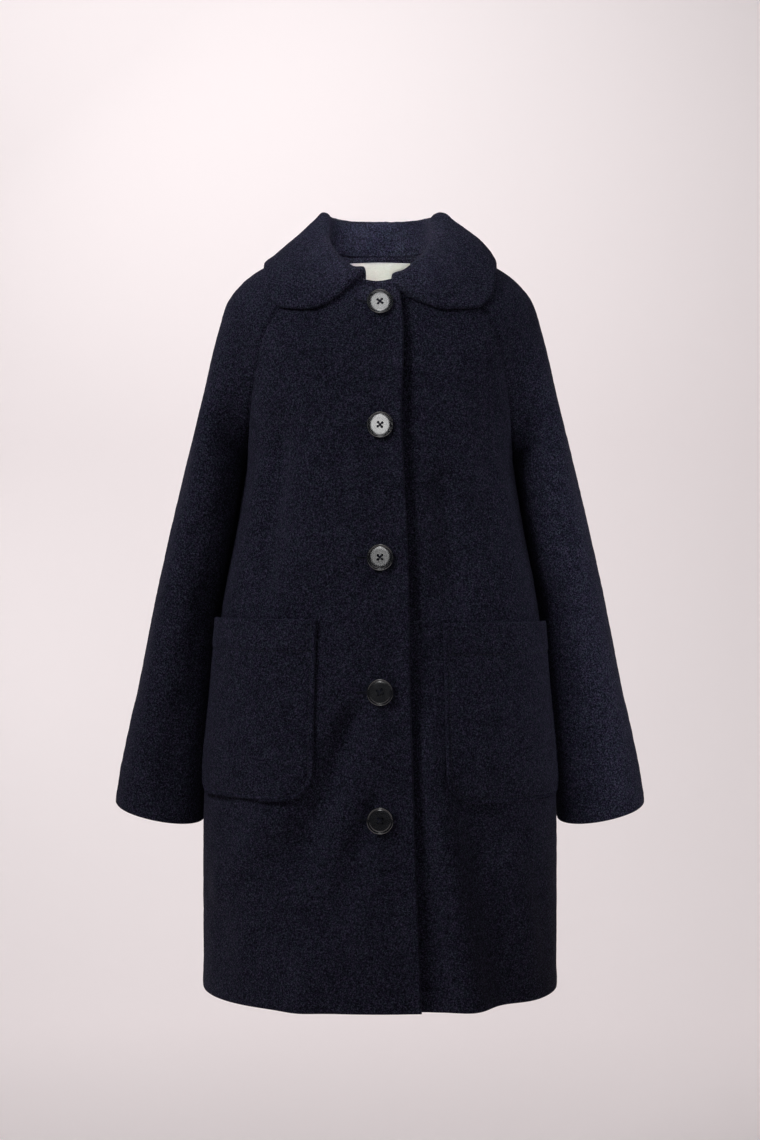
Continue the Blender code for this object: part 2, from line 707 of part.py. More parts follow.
def label_grid(rows=4, columns=8):
    """Return the label's seen face: the back panel's own points, moved in past its wall."""
    grid = []
    for z in np.linspace(LABEL_TOP, LABEL_FOOT, rows + 1):
        at = np.interp(-z, -BACK["centre_z"][:2], (0.0, 1.0))
        half = panel_row(BACK, at, -1.0)
        side = at_distance(half, np.linspace(0.0, 0.5 * LABEL_WIDTH, columns // 2 + 1))
        grid.append(np.concatenate((side[::-1] * np.array((-1.0, 1.0, 1.0)), side[1:])))
    grid = np.array(grid)
    return grid + normals(grid) * (WALL + LABEL_GAP + LABEL_WALL)


def clear_scene():
    """Remove the objects that the scene starts with."""
    for thing in list(bpy.data.objects):
        bpy.data.objects.remove(thing)


def main():
    clear_scene()
    coat = bpy.data.collections.new("long_coat")
    bpy.context.scene.collection.children.link(coat)
    sheet("front_right", front_grid(-1.0), WALL, NAVY, 0.95, coat)
    sheet("front_left", front_grid(1.0), WALL, NAVY, 0.95, coat)
    sheet("back", back_grid(), WALL, NAVY, 0.95, coat)
    sleeve("sleeve_right", -1.0, coat)
    sleeve("sleeve_left", 1.0, coat)
    stand, fall = collar_grids()
    sheet("collar_stand", stand, WALL, NAVY, 0.95, coat)
    sheet("collar_fall", fall, WALL, NAVY, 0.95, coat)
    sheet("pocket_right", pocket_grid(-1.0), WALL, NAVY, 0.95, coat)
    sheet("pocket_left", pocket_grid(1.0), WALL, NAVY, 0.95, coat)
    sheet("neck_label", label_grid(), LABEL_WALL, LABEL_WHITE, 0.7, coat)
    spare = bpy.data.collections.new("cutters")
    bpy.context.scene.collection.children.link(spare)
    buttons(coat, spare)


main()
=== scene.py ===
# %% [markdown]
# # A long coat in navy boiled wool
#
# The coat is shown the way it hangs on a wearer, with nobody inside: raglan sleeves, a round
# collar on a stand, patch pockets and a buttoned front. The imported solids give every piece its
# true place and size. This lesson dresses them: each panel becomes a fine cloth shell with its
# folds, rolled edges and nap, and the buttons, thread, stitching and label are added at real size.

# %% The frame and the tools
import itertools
import json
import math

import bmesh
import bpy
import numpy as np
from mathutils import Matrix, Vector

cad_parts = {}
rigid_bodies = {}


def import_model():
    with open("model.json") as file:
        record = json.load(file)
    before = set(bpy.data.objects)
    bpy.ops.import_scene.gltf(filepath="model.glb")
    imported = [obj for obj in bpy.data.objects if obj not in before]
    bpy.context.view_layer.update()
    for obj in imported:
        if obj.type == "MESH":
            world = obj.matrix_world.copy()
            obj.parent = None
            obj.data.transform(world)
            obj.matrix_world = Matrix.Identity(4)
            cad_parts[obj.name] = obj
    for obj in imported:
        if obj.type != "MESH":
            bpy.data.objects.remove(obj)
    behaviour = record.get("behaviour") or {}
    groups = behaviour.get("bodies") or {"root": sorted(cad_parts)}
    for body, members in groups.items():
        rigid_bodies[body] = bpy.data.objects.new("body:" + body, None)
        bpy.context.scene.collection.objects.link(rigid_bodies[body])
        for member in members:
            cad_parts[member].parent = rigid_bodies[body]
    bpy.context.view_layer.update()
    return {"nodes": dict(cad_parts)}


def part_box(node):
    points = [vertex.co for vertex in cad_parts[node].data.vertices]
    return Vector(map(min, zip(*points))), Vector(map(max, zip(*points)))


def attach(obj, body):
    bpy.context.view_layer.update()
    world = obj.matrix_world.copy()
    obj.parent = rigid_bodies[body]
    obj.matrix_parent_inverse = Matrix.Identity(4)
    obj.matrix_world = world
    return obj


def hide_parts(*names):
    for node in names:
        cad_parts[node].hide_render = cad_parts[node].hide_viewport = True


for thing in list(bpy.data.objects):
    bpy.data.objects.remove(thing)
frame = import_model()
MM = 0.001
print("solids:", ", ".join(sorted(frame["nodes"])))

# %% [markdown]
# ## The camera
#
# The photograph is taken level with the coat's waist from about two metres. At that distance one
# pixel is 1.2 mm at the middle of the coat, which fixes the lens: the picture's height in
# millimetres, set against the distance, is the sensor's height set against the lens.

# %% Camera
PHOTO_HEIGHT = 1140
MM_PER_PIXEL = 1.2
CAMERA_DISTANCE = 2100.0
CAMERA_HEIGHT = -388.0
SENSOR = 36.0


def show(name, data):
    """Put an object with this data into the scene."""
    thing = bpy.data.objects.new(name, data)
    bpy.context.scene.collection.objects.link(thing)
    return thing


camera = show("camera", bpy.data.cameras.new("camera"))
camera.data.sensor_width = SENSOR
camera.data.lens = SENSOR * CAMERA_DISTANCE / (PHOTO_HEIGHT * MM_PER_PIXEL)
camera.data.clip_end = 50.0
camera.location = (0.0, -CAMERA_DISTANCE * MM, CAMERA_HEIGHT * MM)
camera.rotation_euler = (math.pi / 2, 0.0, 0.0)
bpy.context.scene.camera = camera
print("lens", round(camera.data.lens, 2), "mm")

# %% [markdown]
# ## Curves and grids
#
# Every panel is a grid: rows run down the coat, columns run across the cloth. A few helpers are
# enough. One reads a smooth curve through the rows of a table, one draws cubic curves for all
# rows at once, one measures the way along each row, and one reads points at given distances.

# %% Helpers for curves and grids
FLIP = np.array((-1.0, 1.0, 1.0))
CURVE = np.linspace(0.0, 1.0, 161)[None, :, None]
HASH_STEPS = (73856093, 19349663, 83492791)
HASH_SEED, HASH_MIX = 97531, 1274126177


def table(columns, *rows):
    """Return the rows as a dictionary of named columns."""
    return dict(zip(columns.split(), np.array(rows, float).T))


def smooth(stops, values, at):
    """Cubic pieces through the values at the stops, with slopes shared between neighbours."""
    at = np.asarray(at, float)
    slope = np.gradient(values, stops)
    low = np.clip(np.searchsorted(stops, at, side="right") - 1, 0, len(stops) - 2)
    gap = stops[low + 1] - stops[low]
    t = (at - stops[low]) / gap
    start = values[low] * (1 + 2 * t) * (1 - t) ** 2 + slope[low] * gap * t * (1 - t) ** 2
    end = values[low + 1] * t * t * (3 - 2 * t) + slope[low + 1] * gap * t * t * (t - 1)
    return start + end


def ease(x):
    """Rise smoothly from 0 to 1 while x goes from 0 to 1: three x squared less two x cubed."""
    x = np.clip(x, 0.0, 1.0)
    return x * x * (3 - 2 * x)


def bell(x):
    """A bell curve: 1 in the middle, falling off on both sides."""
    return np.exp(-x * x)


def bezier(p0, p1, p2, p3):
    """Cubic curves with these four control points, one curve for every row of points."""
    p0, p1, p2, p3 = (p[:, None, :] for p in (p0, p1, p2, p3))
    t = CURVE
    return (1 - t) ** 3 * p0 + 3 * t * (1 - t) ** 2 * p1 + 3 * t * t * (1 - t) * p2 + t ** 3 * p3


def run(lines):
    """The distance travelled along each line of points, from its first one."""
    steps = np.linalg.norm(np.diff(lines, axis=1), axis=2)
    return np.concatenate((np.zeros((len(lines), 1)), np.cumsum(steps, axis=1)), axis=1)


def run_down(grid):
    """The distance travelled down each column of a grid, from its first row."""
    return run(grid.transpose(1, 0, 2)).T


def to_side(points, side):
    """Points made for the wearer's left, kept there for 1 and mirrored to the right for -1."""
    return points * np.array((side, 1.0, 1.0))


def both_halves(half):
    """Mirror half lines into whole ones; return them and the way round from the centre line."""
    whole = np.concatenate((half[:, :0:-1] * FLIP, half), axis=1)
    return whole, run(whole) - run(half)[:, -1:]


def read_lines(lines, travelled, places):
    """Read every line of points at its own distances, straight between neighbours."""
    rows = zip(lines, travelled, places)
    return np.stack([np.stack([np.interp(p, d, x) for x in line.T], axis=1) for line, d, p in rows])


def unit(vectors):
    """The same directions with length one."""
    return vectors / np.linalg.norm(vectors, axis=-1)[..., None]


def normals(grid):
    """The directions out of a grid: the way down crossed with the way across."""
    return unit(np.cross(np.gradient(grid, axis=0), np.gradient(grid, axis=1)))


def grid_at(grid, row, column):
    """Read a grid between its points: a weighted mean of the four round each place."""
    i = np.clip(np.floor(row).astype(int), 0, grid.shape[0] - 2)
    j = np.clip(np.floor(column).astype(int), 0, grid.shape[1] - 2)
    u, v = (row - i)[:, None], (column - j)[:, None]
    top = grid[i, j] * (1 - v) + grid[i, j + 1] * v
    foot = grid[i + 1, j] * (1 - v) + grid[i + 1, j + 1] * v
    return top * (1 - u) + foot * u


def mottle(points, size, seed):
    """Smooth noise from -1 to 1: chance heights on a cubic lattice, eased from corner to corner."""
    place = points / size
    cell = np.floor(place).astype(np.int64)
    share = ease(place - cell)
    total = np.zeros(points.shape[:-1])
    for corner in itertools.product((0, 1), repeat=3):
        mixed = (cell + np.array(corner)) * np.array(HASH_STEPS)
        mix = mixed[..., 0] ^ mixed[..., 1] ^ mixed[..., 2] ^ (seed * HASH_SEED)
        mix = (mix ^ (mix >> 13)) * HASH_MIX
        height = ((mix ^ (mix >> 16)) & 0xFFFF) / 32767.5 - 1.0
        total += height * np.prod(np.where(corner, share, 1 - share), axis=-1)
    return total


print("curves are drawn with", CURVE.size, "points")

# %% [markdown]
# ## Wool, horn-like plastic, thread and tape
#
# Boiled wool is matt, with a short curly nap: the eye sees a mottle of lighter and darker flecks
# two or three millimetres across, and a soft bloom where the cloth turns away. Noise at a few
# sizes drives the colour and the bump, and the shader's sheen gives the bloom. The buttons are
# polished plastic, so they need a strong reflection and something bright to mirror.

# %% Materials
WOOL_VIOLET = (
    (0.385, (0.0020, 0.0017, 0.0040, 1.0)),
    (0.50, (0.0148, 0.0134, 0.0276, 1.0)),
    (0.63, (0.0720, 0.0650, 0.1160, 1.0)),
)
WOOL_STEEL = (
    (0.385, (0.0017, 0.0020, 0.0036, 1.0)),
    (0.50, (0.0122, 0.0142, 0.0238, 1.0)),
    (0.63, (0.0630, 0.0710, 0.1080, 1.0)),
)
SHEEN_TINT = (0.60, 0.58, 0.85, 1.0)
HUE_PATCHES = ((0.40, (0, 0, 0, 1)), (0.60, (1, 1, 1, 1)))
BUTTON_TONES = ((0.3, (0.006, 0.007, 0.010, 1.0)), (0.75, (0.020, 0.022, 0.028, 1.0)))
BUTTON_WEAR = ((0.3, (0.13, 0.13, 0.13, 1.0)), (0.8, (0.20, 0.20, 0.20, 1.0)))
THREAD_TONES = ((0.35, (0.004, 0.005, 0.010, 1.0)), (0.65, (0.020, 0.023, 0.040, 1.0)))
TAPE_TONES = ((0.3, (0.70, 0.68, 0.62, 1.0)), (0.7, (0.86, 0.85, 0.80, 1.0)))


class Finish:
    """A material and the few node steps that the finishes below share."""

    def __init__(self, name, roughness):
        self.material = bpy.data.materials.new(name)
        self.material.use_nodes = True
        self.tree = self.material.node_tree
        self.shader = self.tree.nodes["Principled BSDF"]
        self.place = self.step("TexCoord").outputs["Object"]
        self.paint({"Roughness": roughness})

    def fill(self, node, inputs):
        """Fill a node's inputs: the output of another node is linked, a plain value is set."""
        for name, value in inputs.items():
            if isinstance(value, bpy.types.NodeSocket):
                self.tree.links.new(value, node.inputs[name])
            else:
                node.inputs[name].default_value = value

    def step(self, kind, **inputs):
        """Add a node of this kind and fill its inputs."""
        node = self.tree.nodes.new("ShaderNode" + kind)
        self.fill(node, inputs)
        return node

    def paint(self, inputs):
        """Fill the inputs of the material's own shader."""
        self.fill(self.shader, inputs)

    def stretched(self, turn, scale):
        """Turn and stretch the object's own coordinates."""
        return self.step("Mapping", Vector=self.place, Rotation=turn, Scale=scale).outputs["Vector"]

    def noise(self, size_mm, detail=2.0, distortion=0.0, place=None):
        """Noise whose grains are about this size."""
        node = self.step("TexNoise", Vector=place or self.place, Scale=1.0 / (size_mm * MM),
                         Detail=detail, Distortion=distortion)
        return node.outputs["Fac"]

    def sum(self, *terms):
        """Add up outputs, each times its weight."""
        total = 0.0
        for output, weight in terms:
            node = self.step("Math")
            node.operation = "MULTIPLY_ADD"
            self.fill(node, {0: output, 1: weight, 2: total})
            total = node.outputs[0]
        return total

    def ramp(self, value, stops):
        """Turn a value into colours along a ramp."""
        node = self.step("ValToRGB", Fac=value)
        ramp = node.color_ramp
        while len(ramp.elements) < len(stops):
            ramp.elements.new(0.5)
        for element, (position, colour) in zip(ramp.elements, stops):
            element.position = position
            element.color = colour
        return node.outputs["Color"]

    def bump(self, height, depth_mm, strength=1.0):
        """Tilt the surface by a height field of this depth."""
        node = self.step("Bump", Strength=strength, Distance=depth_mm * MM, Height=height)
        self.paint({"Normal": node.outputs["Normal"]})


def wool_finish(name):
    """Flecked navy wool: curls and fibres in two hues, a slow drift of tone and a faint sheen."""
    wool = Finish(name, 1.0)
    curls = wool.noise(1.6, 1.0, 1.0)
    fibres = wool.noise(1.0, 1.0, 0.8, wool.stretched((0.0, 0.6, 0.3), (1.0, 1.0, 0.5)))
    strands = wool.noise(0.9, 1.0, 0.8, wool.stretched((0.0, -0.7, 0.2), (0.5, 1.0, 1.0)))
    drift = wool.noise(26.0, 2.0)
    tone = wool.sum((curls, 0.34), (fibres, 0.32), (strands, 0.30), (drift, 0.04))
    hue = wool.step("Mix")
    hue.data_type = "RGBA"
    wool.fill(hue, {
        "Factor": wool.ramp(wool.noise(4.5, 1.0), HUE_PATCHES),
        "A": wool.ramp(tone, WOOL_VIOLET),
        "B": wool.ramp(tone, WOOL_STEEL),
    })
    wool.bump(wool.sum((curls, 0.5), (fibres, 0.4), (strands, 0.4)), 2.0, 0.7)
    wool.paint({
        "Base Color": hue.outputs["Result"],
        "Specular IOR Level": 0.08,
        "Sheen Weight": 0.03,
        "Sheen Roughness": 0.45,
        "Sheen Tint": SHEEN_TINT,
    })
    return wool.material


def button_finish(name):
    """Polished near-black plastic with faint clouding and fine wear on the gloss."""
    plastic = Finish(name, 0.1)
    plastic.paint({
        "Base Color": plastic.ramp(plastic.noise(5.0, 3.0, 0.6), BUTTON_TONES),
        "Roughness": plastic.ramp(plastic.noise(0.9, 4.0), BUTTON_WEAR),
        "Specular IOR Level": 1.0,
        "IOR": 1.9,
    })
    return plastic.material


def thread_finish(name):
    """Twisted sewing thread: fine slanting strands in two close tones."""
    thread = Finish(name, 0.7)
    twist = thread.noise(0.35, 1.0, 0.5, thread.stretched((0.4, 0.5, 0.6), (1.0, 0.4, 1.0)))
    thread.paint({"Base Color": thread.ramp(twist, THREAD_TONES)})
    thread.bump(twist, 0.12, 0.6)
    return thread.material


def tape_finish(name):
    """Woven satin tape in off-white: a fine weave of two crossing sets of ribs."""
    tape = Finish(name, 0.6)
    warp = tape.noise(0.5, 1.0, 0.0, tape.stretched((0.0, 0.0, 0.0), (1.0, 1.0, 0.12)))
    weft = tape.noise(0.5, 1.0, 0.0, tape.stretched((0.0, 0.0, 0.0), (0.12, 1.0, 1.0)))
    weave = tape.sum((warp, 0.5), (weft, 0.5))
    tape.paint({"Base Color": tape.ramp(weave, TAPE_TONES), "Sheen Weight": 0.1})
    tape.bump(weave, 0.15, 0.5)
    return tape.material


WOOL = wool_finish("boiled_wool")
BUTTON = button_finish("polished_button")
THREAD = thread_finish("navy_thread")
TAPE = tape_finish("label_tape")
print("finishes:", ", ".join(m.name for m in (WOOL, BUTTON, THREAD, TAPE)))

# %% [markdown]
# ## From a grid to cloth
#
# A grid of outer points is only a skin. Real wool has a thickness, and its edges are turned and
# soft, so the skin gets an inner face one wall behind it. Near every edge both faces curve
# towards each other like a quarter circle, which is kinder to the eye than a square rim and
# needs no modifier. Close columns near the edges give that curve enough points.

# %% Cloth shells
WALL = 3.0
SEAM_GAP = 0.3
RIM_SHARE, SEWN_SHARE, TIGHT_SHARE = 0.47, 0.3, 0.06
EDGE_STRIP = np.array((0.0, 0.25, 0.65, 1.2, 1.9, 2.9, 4.2, 6.0))
NAP = ((7.0, 0.26, 11), (3.6, 0.20, 12))


def spread(length, count):
    """Distances across rows of this length: close together at both ends, even between them."""
    length = np.asarray(length, float)[:, None]
    last = EDGE_STRIP[-1]
    inner = last + (length - 2 * last) * np.linspace(0.0, 1.0, count)
    strip = np.broadcast_to(EDGE_STRIP[:-1], (len(length), len(EDGE_STRIP) - 1))
    return np.concatenate((strip, inner, length - strip[:, ::-1]), axis=1)


def nap(points):
    """The uneven height of the nap, from two sizes of noise."""
    return sum(depth * mottle(points, size, seed) for size, depth, seed in NAP)


def add_piece(name, points, faces, finish, slot, nodes=(), sharp=None):
    """Make an object from points in millimetres and let it ride on the coat."""
    mesh = bpy.data.meshes.new(name)
    faces = faces.tolist() if isinstance(faces, np.ndarray) else faces
    mesh.from_pydata((np.asarray(points) * MM).tolist(), [], faces)
    mesh.materials.append(finish)
    mesh.shade_smooth()
    if sharp is not None:
        mesh.set_sharp_from_angle(angle=math.radians(sharp))
    piece = show(name, mesh)
    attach(piece, "root")
    if nodes:
        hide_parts(*nodes)
    print(name, len(mesh.polygons), "faces")
    return piece


def quads(rows, columns):
    """The four-sided faces of a grid, and its border read as one loop."""
    index = np.arange(rows * columns).reshape(rows, columns)
    faces = np.stack((index[:-1, :-1], index[1:, :-1], index[1:, 1:], index[:-1, 1:]), axis=-1)
    border = np.concatenate((index[0, :-1], index[:-1, -1], index[-1, :0:-1], index[:0:-1, 0]))
    return faces.reshape(-1, 4), border


def shell(name, grid, finish, slot, node, wall=WALL, raise_out=0.0, free="trbl", tight=""):
    """Close a grid into cloth: a face, a lining one wall behind it, and rims turned round.

    Within a rim's radius of an edge both faces bend to the middle of the wall as a quarter
    circle. The radius is large at the free edges (t, r, b, l for top, right, bottom and left),
    small at the sewn ones and smallest at the tight ones. raise_out lifts the face alone.
    """
    rows, columns = grid.shape[:2]
    out = normals(grid)
    across = run(grid)
    down = run_down(grid)
    drop, calm = np.zeros((rows, columns)), np.ones((rows, columns))
    sides = {"t": down, "r": across[:, -1:] - across, "b": down[-1:] - down, "l": across}
    for side, near in sides.items():
        share = RIM_SHARE if side in free else TIGHT_SHARE if side in tight else SEWN_SHARE
        radius = share * wall
        left = np.clip(radius - near, 0.0, radius)
        drop = np.maximum(drop, radius - np.sqrt(radius ** 2 - left ** 2))
        calm = np.minimum(calm, 1 - left / radius)
    face = grid + out * (raise_out * calm - drop)[..., None]
    lining = grid - out * (wall - drop)[..., None]
    faces, border = quads(rows, columns)
    behind = border + rows * columns
    rim = np.stack((border, np.roll(border, -1), np.roll(behind, -1), behind), axis=-1)
    points = np.concatenate((face.reshape(-1, 3), lining.reshape(-1, 3)))
    faces = np.concatenate((faces, faces[:, ::-1] + rows * columns, rim))
    return add_piece(name, points, faces, finish, slot, (node,)), face


def cut_size(grid):
    """Width, length and area of the flat cloth that a plain grid was cut from, in metres."""
    width = run(grid)[:, -1].max() * MM
    length = run_down(grid)[-1].max() * MM
    edge_a, edge_b = np.diff(grid, axis=0)[:, :-1], np.diff(grid, axis=1)[:-1]
    area = np.linalg.norm(np.cross(edge_a, edge_b), axis=2).sum() * MM * MM
    return width, length, area


def declare_cloth(plain):
    """State the flat cut of a panel, measured on its form without folds or nap."""
    width, length, area = cut_size(plain)
    print(f"  cut {width:.3f} x {length:.3f} m, {area:.3f} m2")


def wool_shell(node, grid, raise_out, free="trbl", tight=""):
    """A shell of wool in place of the solid of that name."""
    return shell(node + "_cloth", grid, WOOL, "wool", node, WALL, raise_out, free, tight)


def sew(node, side, plain, lift, roll, free="trbl", tight=""):
    """Carry a panel to its side, move it out by its folds and make it cloth; return its face."""
    plain = to_side(plain, side)
    if side < 0:
        plain, lift, roll = plain[:, ::-1], lift[:, ::-1], roll[:, ::-1]
    grid = plain + normals(plain) * lift[..., None]
    piece, face = wool_shell(node, grid, roll + nap(grid), free, tight)
    declare_cloth(plain)
    return face


print("wall", WALL, "mm, seams", SEAM_GAP, "mm apart")

# %% [markdown]
# ## The cut of the body
#
# A coat's body is a set of level sections. Each section of a front or back leaves the centre
# square to it, rounds the side and meets the raglan seam, or the side seam below the arm. Twelve
# rows of sizes are enough, because a smooth curve reads every row in between.

# %% Sections of the body
UNDERARM = 6
FRONT = table(
    "x y z turn climb flat round centre_y centre_z",
    (59, -49, -20, 63, 0.42, 0.42, 0.33, -90, -56),
    (109, -79, -76, 28, 0.40, 0.40, 0.28, -104, -108),
    (134, -81, -112, 36, 0.36, 0.42, 0.26, -111, -142),
    (145, -71, -150, 52, 0.30, 0.44, 0.27, -115, -173),
    (153, -51, -200, 70, 0.20, 0.46, 0.30, -119, -214),
    (157, -24, -240, 82, 0.10, 0.48, 0.35, -122, -247),
    (160, 8, -264, 90, 0.00, 0.53, 0.42, -124, -267),
    (172, 2, -340, 90, 0.00, 0.51, 0.40, -129, -340),
    (188, -6, -430, 90, 0.00, 0.50, 0.38, -134, -430),
    (200, -8, -540, 90, 0.00, 0.50, 0.36, -140, -540),
    (210, -6, -664, 90, 0.00, 0.51, 0.34, -145, -664),
    (211, 0, -884, 90, 0.00, 0.59, 0.27, -150, -884),
)
BACK = table(
    "x y z turn climb flat round centre_y centre_z",
    (50, 48, -1, 42, 0.02, 0.42, 0.33, 66, 0),
    (100, 82, -58, 28, 0.16, 0.42, 0.28, 90, -54),
    (131, 87, -104, 36, 0.22, 0.43, 0.26, 102, -103),
    (146, 82, -150, 52, 0.22, 0.44, 0.27, 109, -150),
    (154, 66, -200, 70, 0.16, 0.46, 0.30, 113, -201),
    (158, 40, -240, 82, 0.08, 0.48, 0.34, 114, -241),
    (160, 8, -264, 90, 0.00, 0.53, 0.40, 114, -265),
    (172, 2, -340, 90, 0.00, 0.51, 0.39, 115, -340),
    (188, -6, -430, 90, 0.00, 0.50, 0.38, 118, -430),
    (200, -8, -540, 90, 0.00, 0.50, 0.36, 122, -540),
    (210, -6, -664, 90, 0.00, 0.51, 0.34, 130, -664),
    (211, 0, -884, 90, 0.00, 0.57, 0.28, 142, -884),
)
LAST_ROW = float(len(FRONT["z"]) - 1)
NECK_STEP = 0.0154
HEM_STEP = 0.00454
SOFT_ROWS, SOFT_SEAM = 12, 30.0


def read(column, at):
    """Read a column between its rows; the runs above and below the underarm are separate curves."""
    stops = np.arange(len(column), dtype=float)
    upper = smooth(stops[: UNDERARM + 1], column[: UNDERARM + 1], at)
    lower = smooth(stops[UNDERARM:], column[UNDERARM:], at)
    return np.where(at <= UNDERARM, upper, lower)


def panel_lines(source, at, back):
    """Half sections of a panel: cubic curves from the centre line, round to the seam."""
    s = {name: read(column, at) for name, column in source.items()}
    centre = np.stack((np.zeros_like(at), s["centre_y"], s["centre_z"]), axis=1)
    seam = np.stack((s["x"], s["y"], s["z"]), axis=1)
    span = np.linalg.norm(seam - centre, axis=1)
    turn = np.radians(s["turn"])
    onward = np.stack((np.cos(turn), np.sin(turn) * back, s["climb"]), axis=1)
    near = centre.copy()
    near[:, 0] = s["flat"] * span
    far = seam - (s["round"] * span)[:, None] * onward
    return bezier(centre, near, far, seam)


def row_stops(yoke_rows, lower_rows, hem_step=HEM_STEP):
    """Places of the rows from neck to hem, close together at both ends."""
    first = EDGE_STRIP * NECK_STEP
    last = LAST_ROW - EDGE_STRIP[::-1] * hem_step
    yoke = np.linspace(first[-1], UNDERARM, yoke_rows, endpoint=False)
    lower = np.linspace(UNDERARM, last[0], lower_rows)
    return np.concatenate((first[:-1], yoke, lower, last[1:]))


def soften(grid, stops, from_seam):
    """Round off the bend at the underarm: there each point moves to the mean of its column."""
    row = np.arange(len(stops)) - np.searchsorted(stops, UNDERARM)
    steps = np.arange(-SOFT_ROWS, SOFT_ROWS + 1)
    weight = bell(2.0 * steps / SOFT_ROWS)
    padded = np.pad(grid, ((SOFT_ROWS, SOFT_ROWS), (0, 0), (0, 0)), mode="edge")
    mean = sum(w * padded[SOFT_ROWS + k: SOFT_ROWS + k + len(grid)] for w, k in zip(weight, steps))
    share = bell(row / SOFT_ROWS)[:, None] * ease(from_seam / SOFT_SEAM)
    return grid + (mean / weight.sum() - grid) * share[..., None]


BODY_STOPS = row_stops(yoke_rows=74, lower_rows=190)
print("body rows:", len(BODY_STOPS))

# %% [markdown]
# ## Folds
#
# The cloth is heavy, so its folds are long, soft and shallow. Each is a line drawn on the panel
# with a depth and a half-width at both ends: across the line it falls off as a bell, and along
# the line it fades in and out. The large ones are those of the solids. Smaller ones are added
# here: pulls below the buttons, breaks at the elbow, slack above the pockets.

# %% Folds and creases
FOLD_COLUMNS = "s0 z0 s1 z1 lift wide0 wide1"
FRONT_FOLDS = table(
    FOLD_COLUMNS,
    (-116, -190, -146, -450, -5, 20, 24),
    (-12, -515, -108, -750, -6, 13, 26),
    (4, -620, -54, -790, -4, 12, 20),
    (-96, -640, -225, -780, 4, 20, 26),
    (-62, -790, -122, -990, 4, 20, 26),
    (48, -520, 118, -990, 6, 14, 26),
    (70, -260, 92, -450, -5, 16, 20),
    (96, -620, 176, -990, -5, 20, 30),
)
FRONT_CREASES = table(
    FOLD_COLUMNS,
    (-20, -385, -86, -432, -1.6, 7, 12),
    (-26, -540, -64, -600, -1.8, 6, 11),
    (-20, -684, -70, -742, -1.6, 6, 12),
    (-30, -240, -78, -300, -1.2, 8, 14),
    (-132, -300, -160, -380, -1.8, 9, 12),
    (-150, -250, -176, -330, 1.8, 9, 12),
    (-180, -690, -206, -860, -2.0, 11, 16),
    (-150, -720, -168, -880, 1.8, 12, 16),
    (40, -420, 66, -520, -1.5, 8, 12),
    (120, -300, 150, -390, -1.8, 9, 13),
    (140, -250, 172, -340, 1.6, 9, 13),
    (60, -700, 74, -860, -1.8, 9, 15),
    (150, -690, 200, -850, 2.0, 12, 16),
    (190, -700, 224, -870, -1.8, 11, 15),
)
UNDERLAP_FOLDS = table(
    FOLD_COLUMNS,
    (17, 90, 55, -1080, -3.5, 10, 11),
)
BACK_FOLDS = table(
    FOLD_COLUMNS,
    (-84, -180, -98, -990, 5, 20, 36),
    (78, -200, 106, -990, 5, 22, 34),
    (-20, -420, -12, -990, -5, 24, 40),
    (150, -330, 176, -990, -4, 18, 26),
    (-148, -300, -180, -990, -4, 18, 28),
)
BACK_CREASES = table(
    FOLD_COLUMNS,
    (-120, -170, -40, -205, -1.8, 10, 14),
    (116, -180, 30, -214, -1.6, 10, 14),
    (-150, -270, -84, -330, -2.0, 9, 14),
    (146, -260, 92, -320, -2.0, 9, 14),
    (-60, -560, -42, -760, -1.8, 12, 18),
    (40, -600, 56, -820, 1.8, 12, 18),
    (128, -620, 140, -860, -1.8, 11, 16),
    (-122, -650, -136, -870, 1.6, 11, 16),
)
FOLD_DEEPER = 2.0
FOLD_FADE = 0.22
FOLD_SEAM = 40.0


def fold_lift(folds, s, z):
    """How far the folds move the cloth out at the way round s and the height z, all added up."""
    lift = np.zeros_like(s)
    for s0, z0, s1, z1, height, wide0, wide1 in zip(*folds.values()):
        length = math.hypot(s1 - s0, z1 - z0)
        along = ((s - s0) * (s1 - s0) + (z - z0) * (z1 - z0)) / length ** 2
        across = ((s - s0) * (z1 - z0) - (z - z0) * (s1 - s0)) / length
        wide = wide0 + (wide1 - wide0) * np.clip(along, 0.0, 1.0)
        lift += height * ease(along / FOLD_FADE) * ease((1.0 - along) / FOLD_FADE) * bell(across / wide)
    return lift


print("folds:", sum(len(t["s0"]) for t in (FRONT_FOLDS, FRONT_CREASES, BACK_FOLDS, BACK_CREASES)))

# %% [markdown]
# ## The two fronts
#
# The wearer's right front laps over the left one. Its edge is folded under, so the cloth is
# double there and stands up in a soft roll. The left front is the same cut, moved in by the
# thickness of the lap. Seams are pressed, so the cloth dips a little just beside them.

# %% Fronts
LAP_DEPTH = 5.6
LAP_FULL, LAP_GONE = 45.0, 120.0
LAP_FULL_SHARE, LAP_GONE_SHARE = 0.40, 0.90
UNDERLAP = 26.0
EDGE = table(
    "z x",
    (-56, 15),
    (-64, 21),
    (-80, 24),
    (-218, 25),
    (-377, 32),
    (-535, 35),
    (-760, 42),
    (-884, 47),
)
ROLL_HEIGHT, ROLL_AT, ROLL_WIDE = 3.9, 1.5, 11.5
HEM_HEIGHT, HEM_AT, HEM_WIDE = 0.9, 9.0, 10.0
SEAM_SINK, SEAM_WIDE = 2.5, 2.4


def front_form(side, at, places):
    """Points of a front at distances round it from the centre line, with the lap but no folds."""
    half = panel_lines(FRONT, at, 1.0)
    whole, way = both_halves(half)
    grid = read_lines(whole, way, places(half, whole, way))
    if side > 0:
        seam_x = half[:, -1:, 0]
        full = np.minimum(LAP_FULL, LAP_FULL_SHARE * seam_x)
        gone = np.minimum(LAP_GONE, LAP_GONE_SHARE * seam_x)
        grid[..., 1] += LAP_DEPTH * (1 - ease((grid[..., 0] - full) / (gone - full)))
    return grid


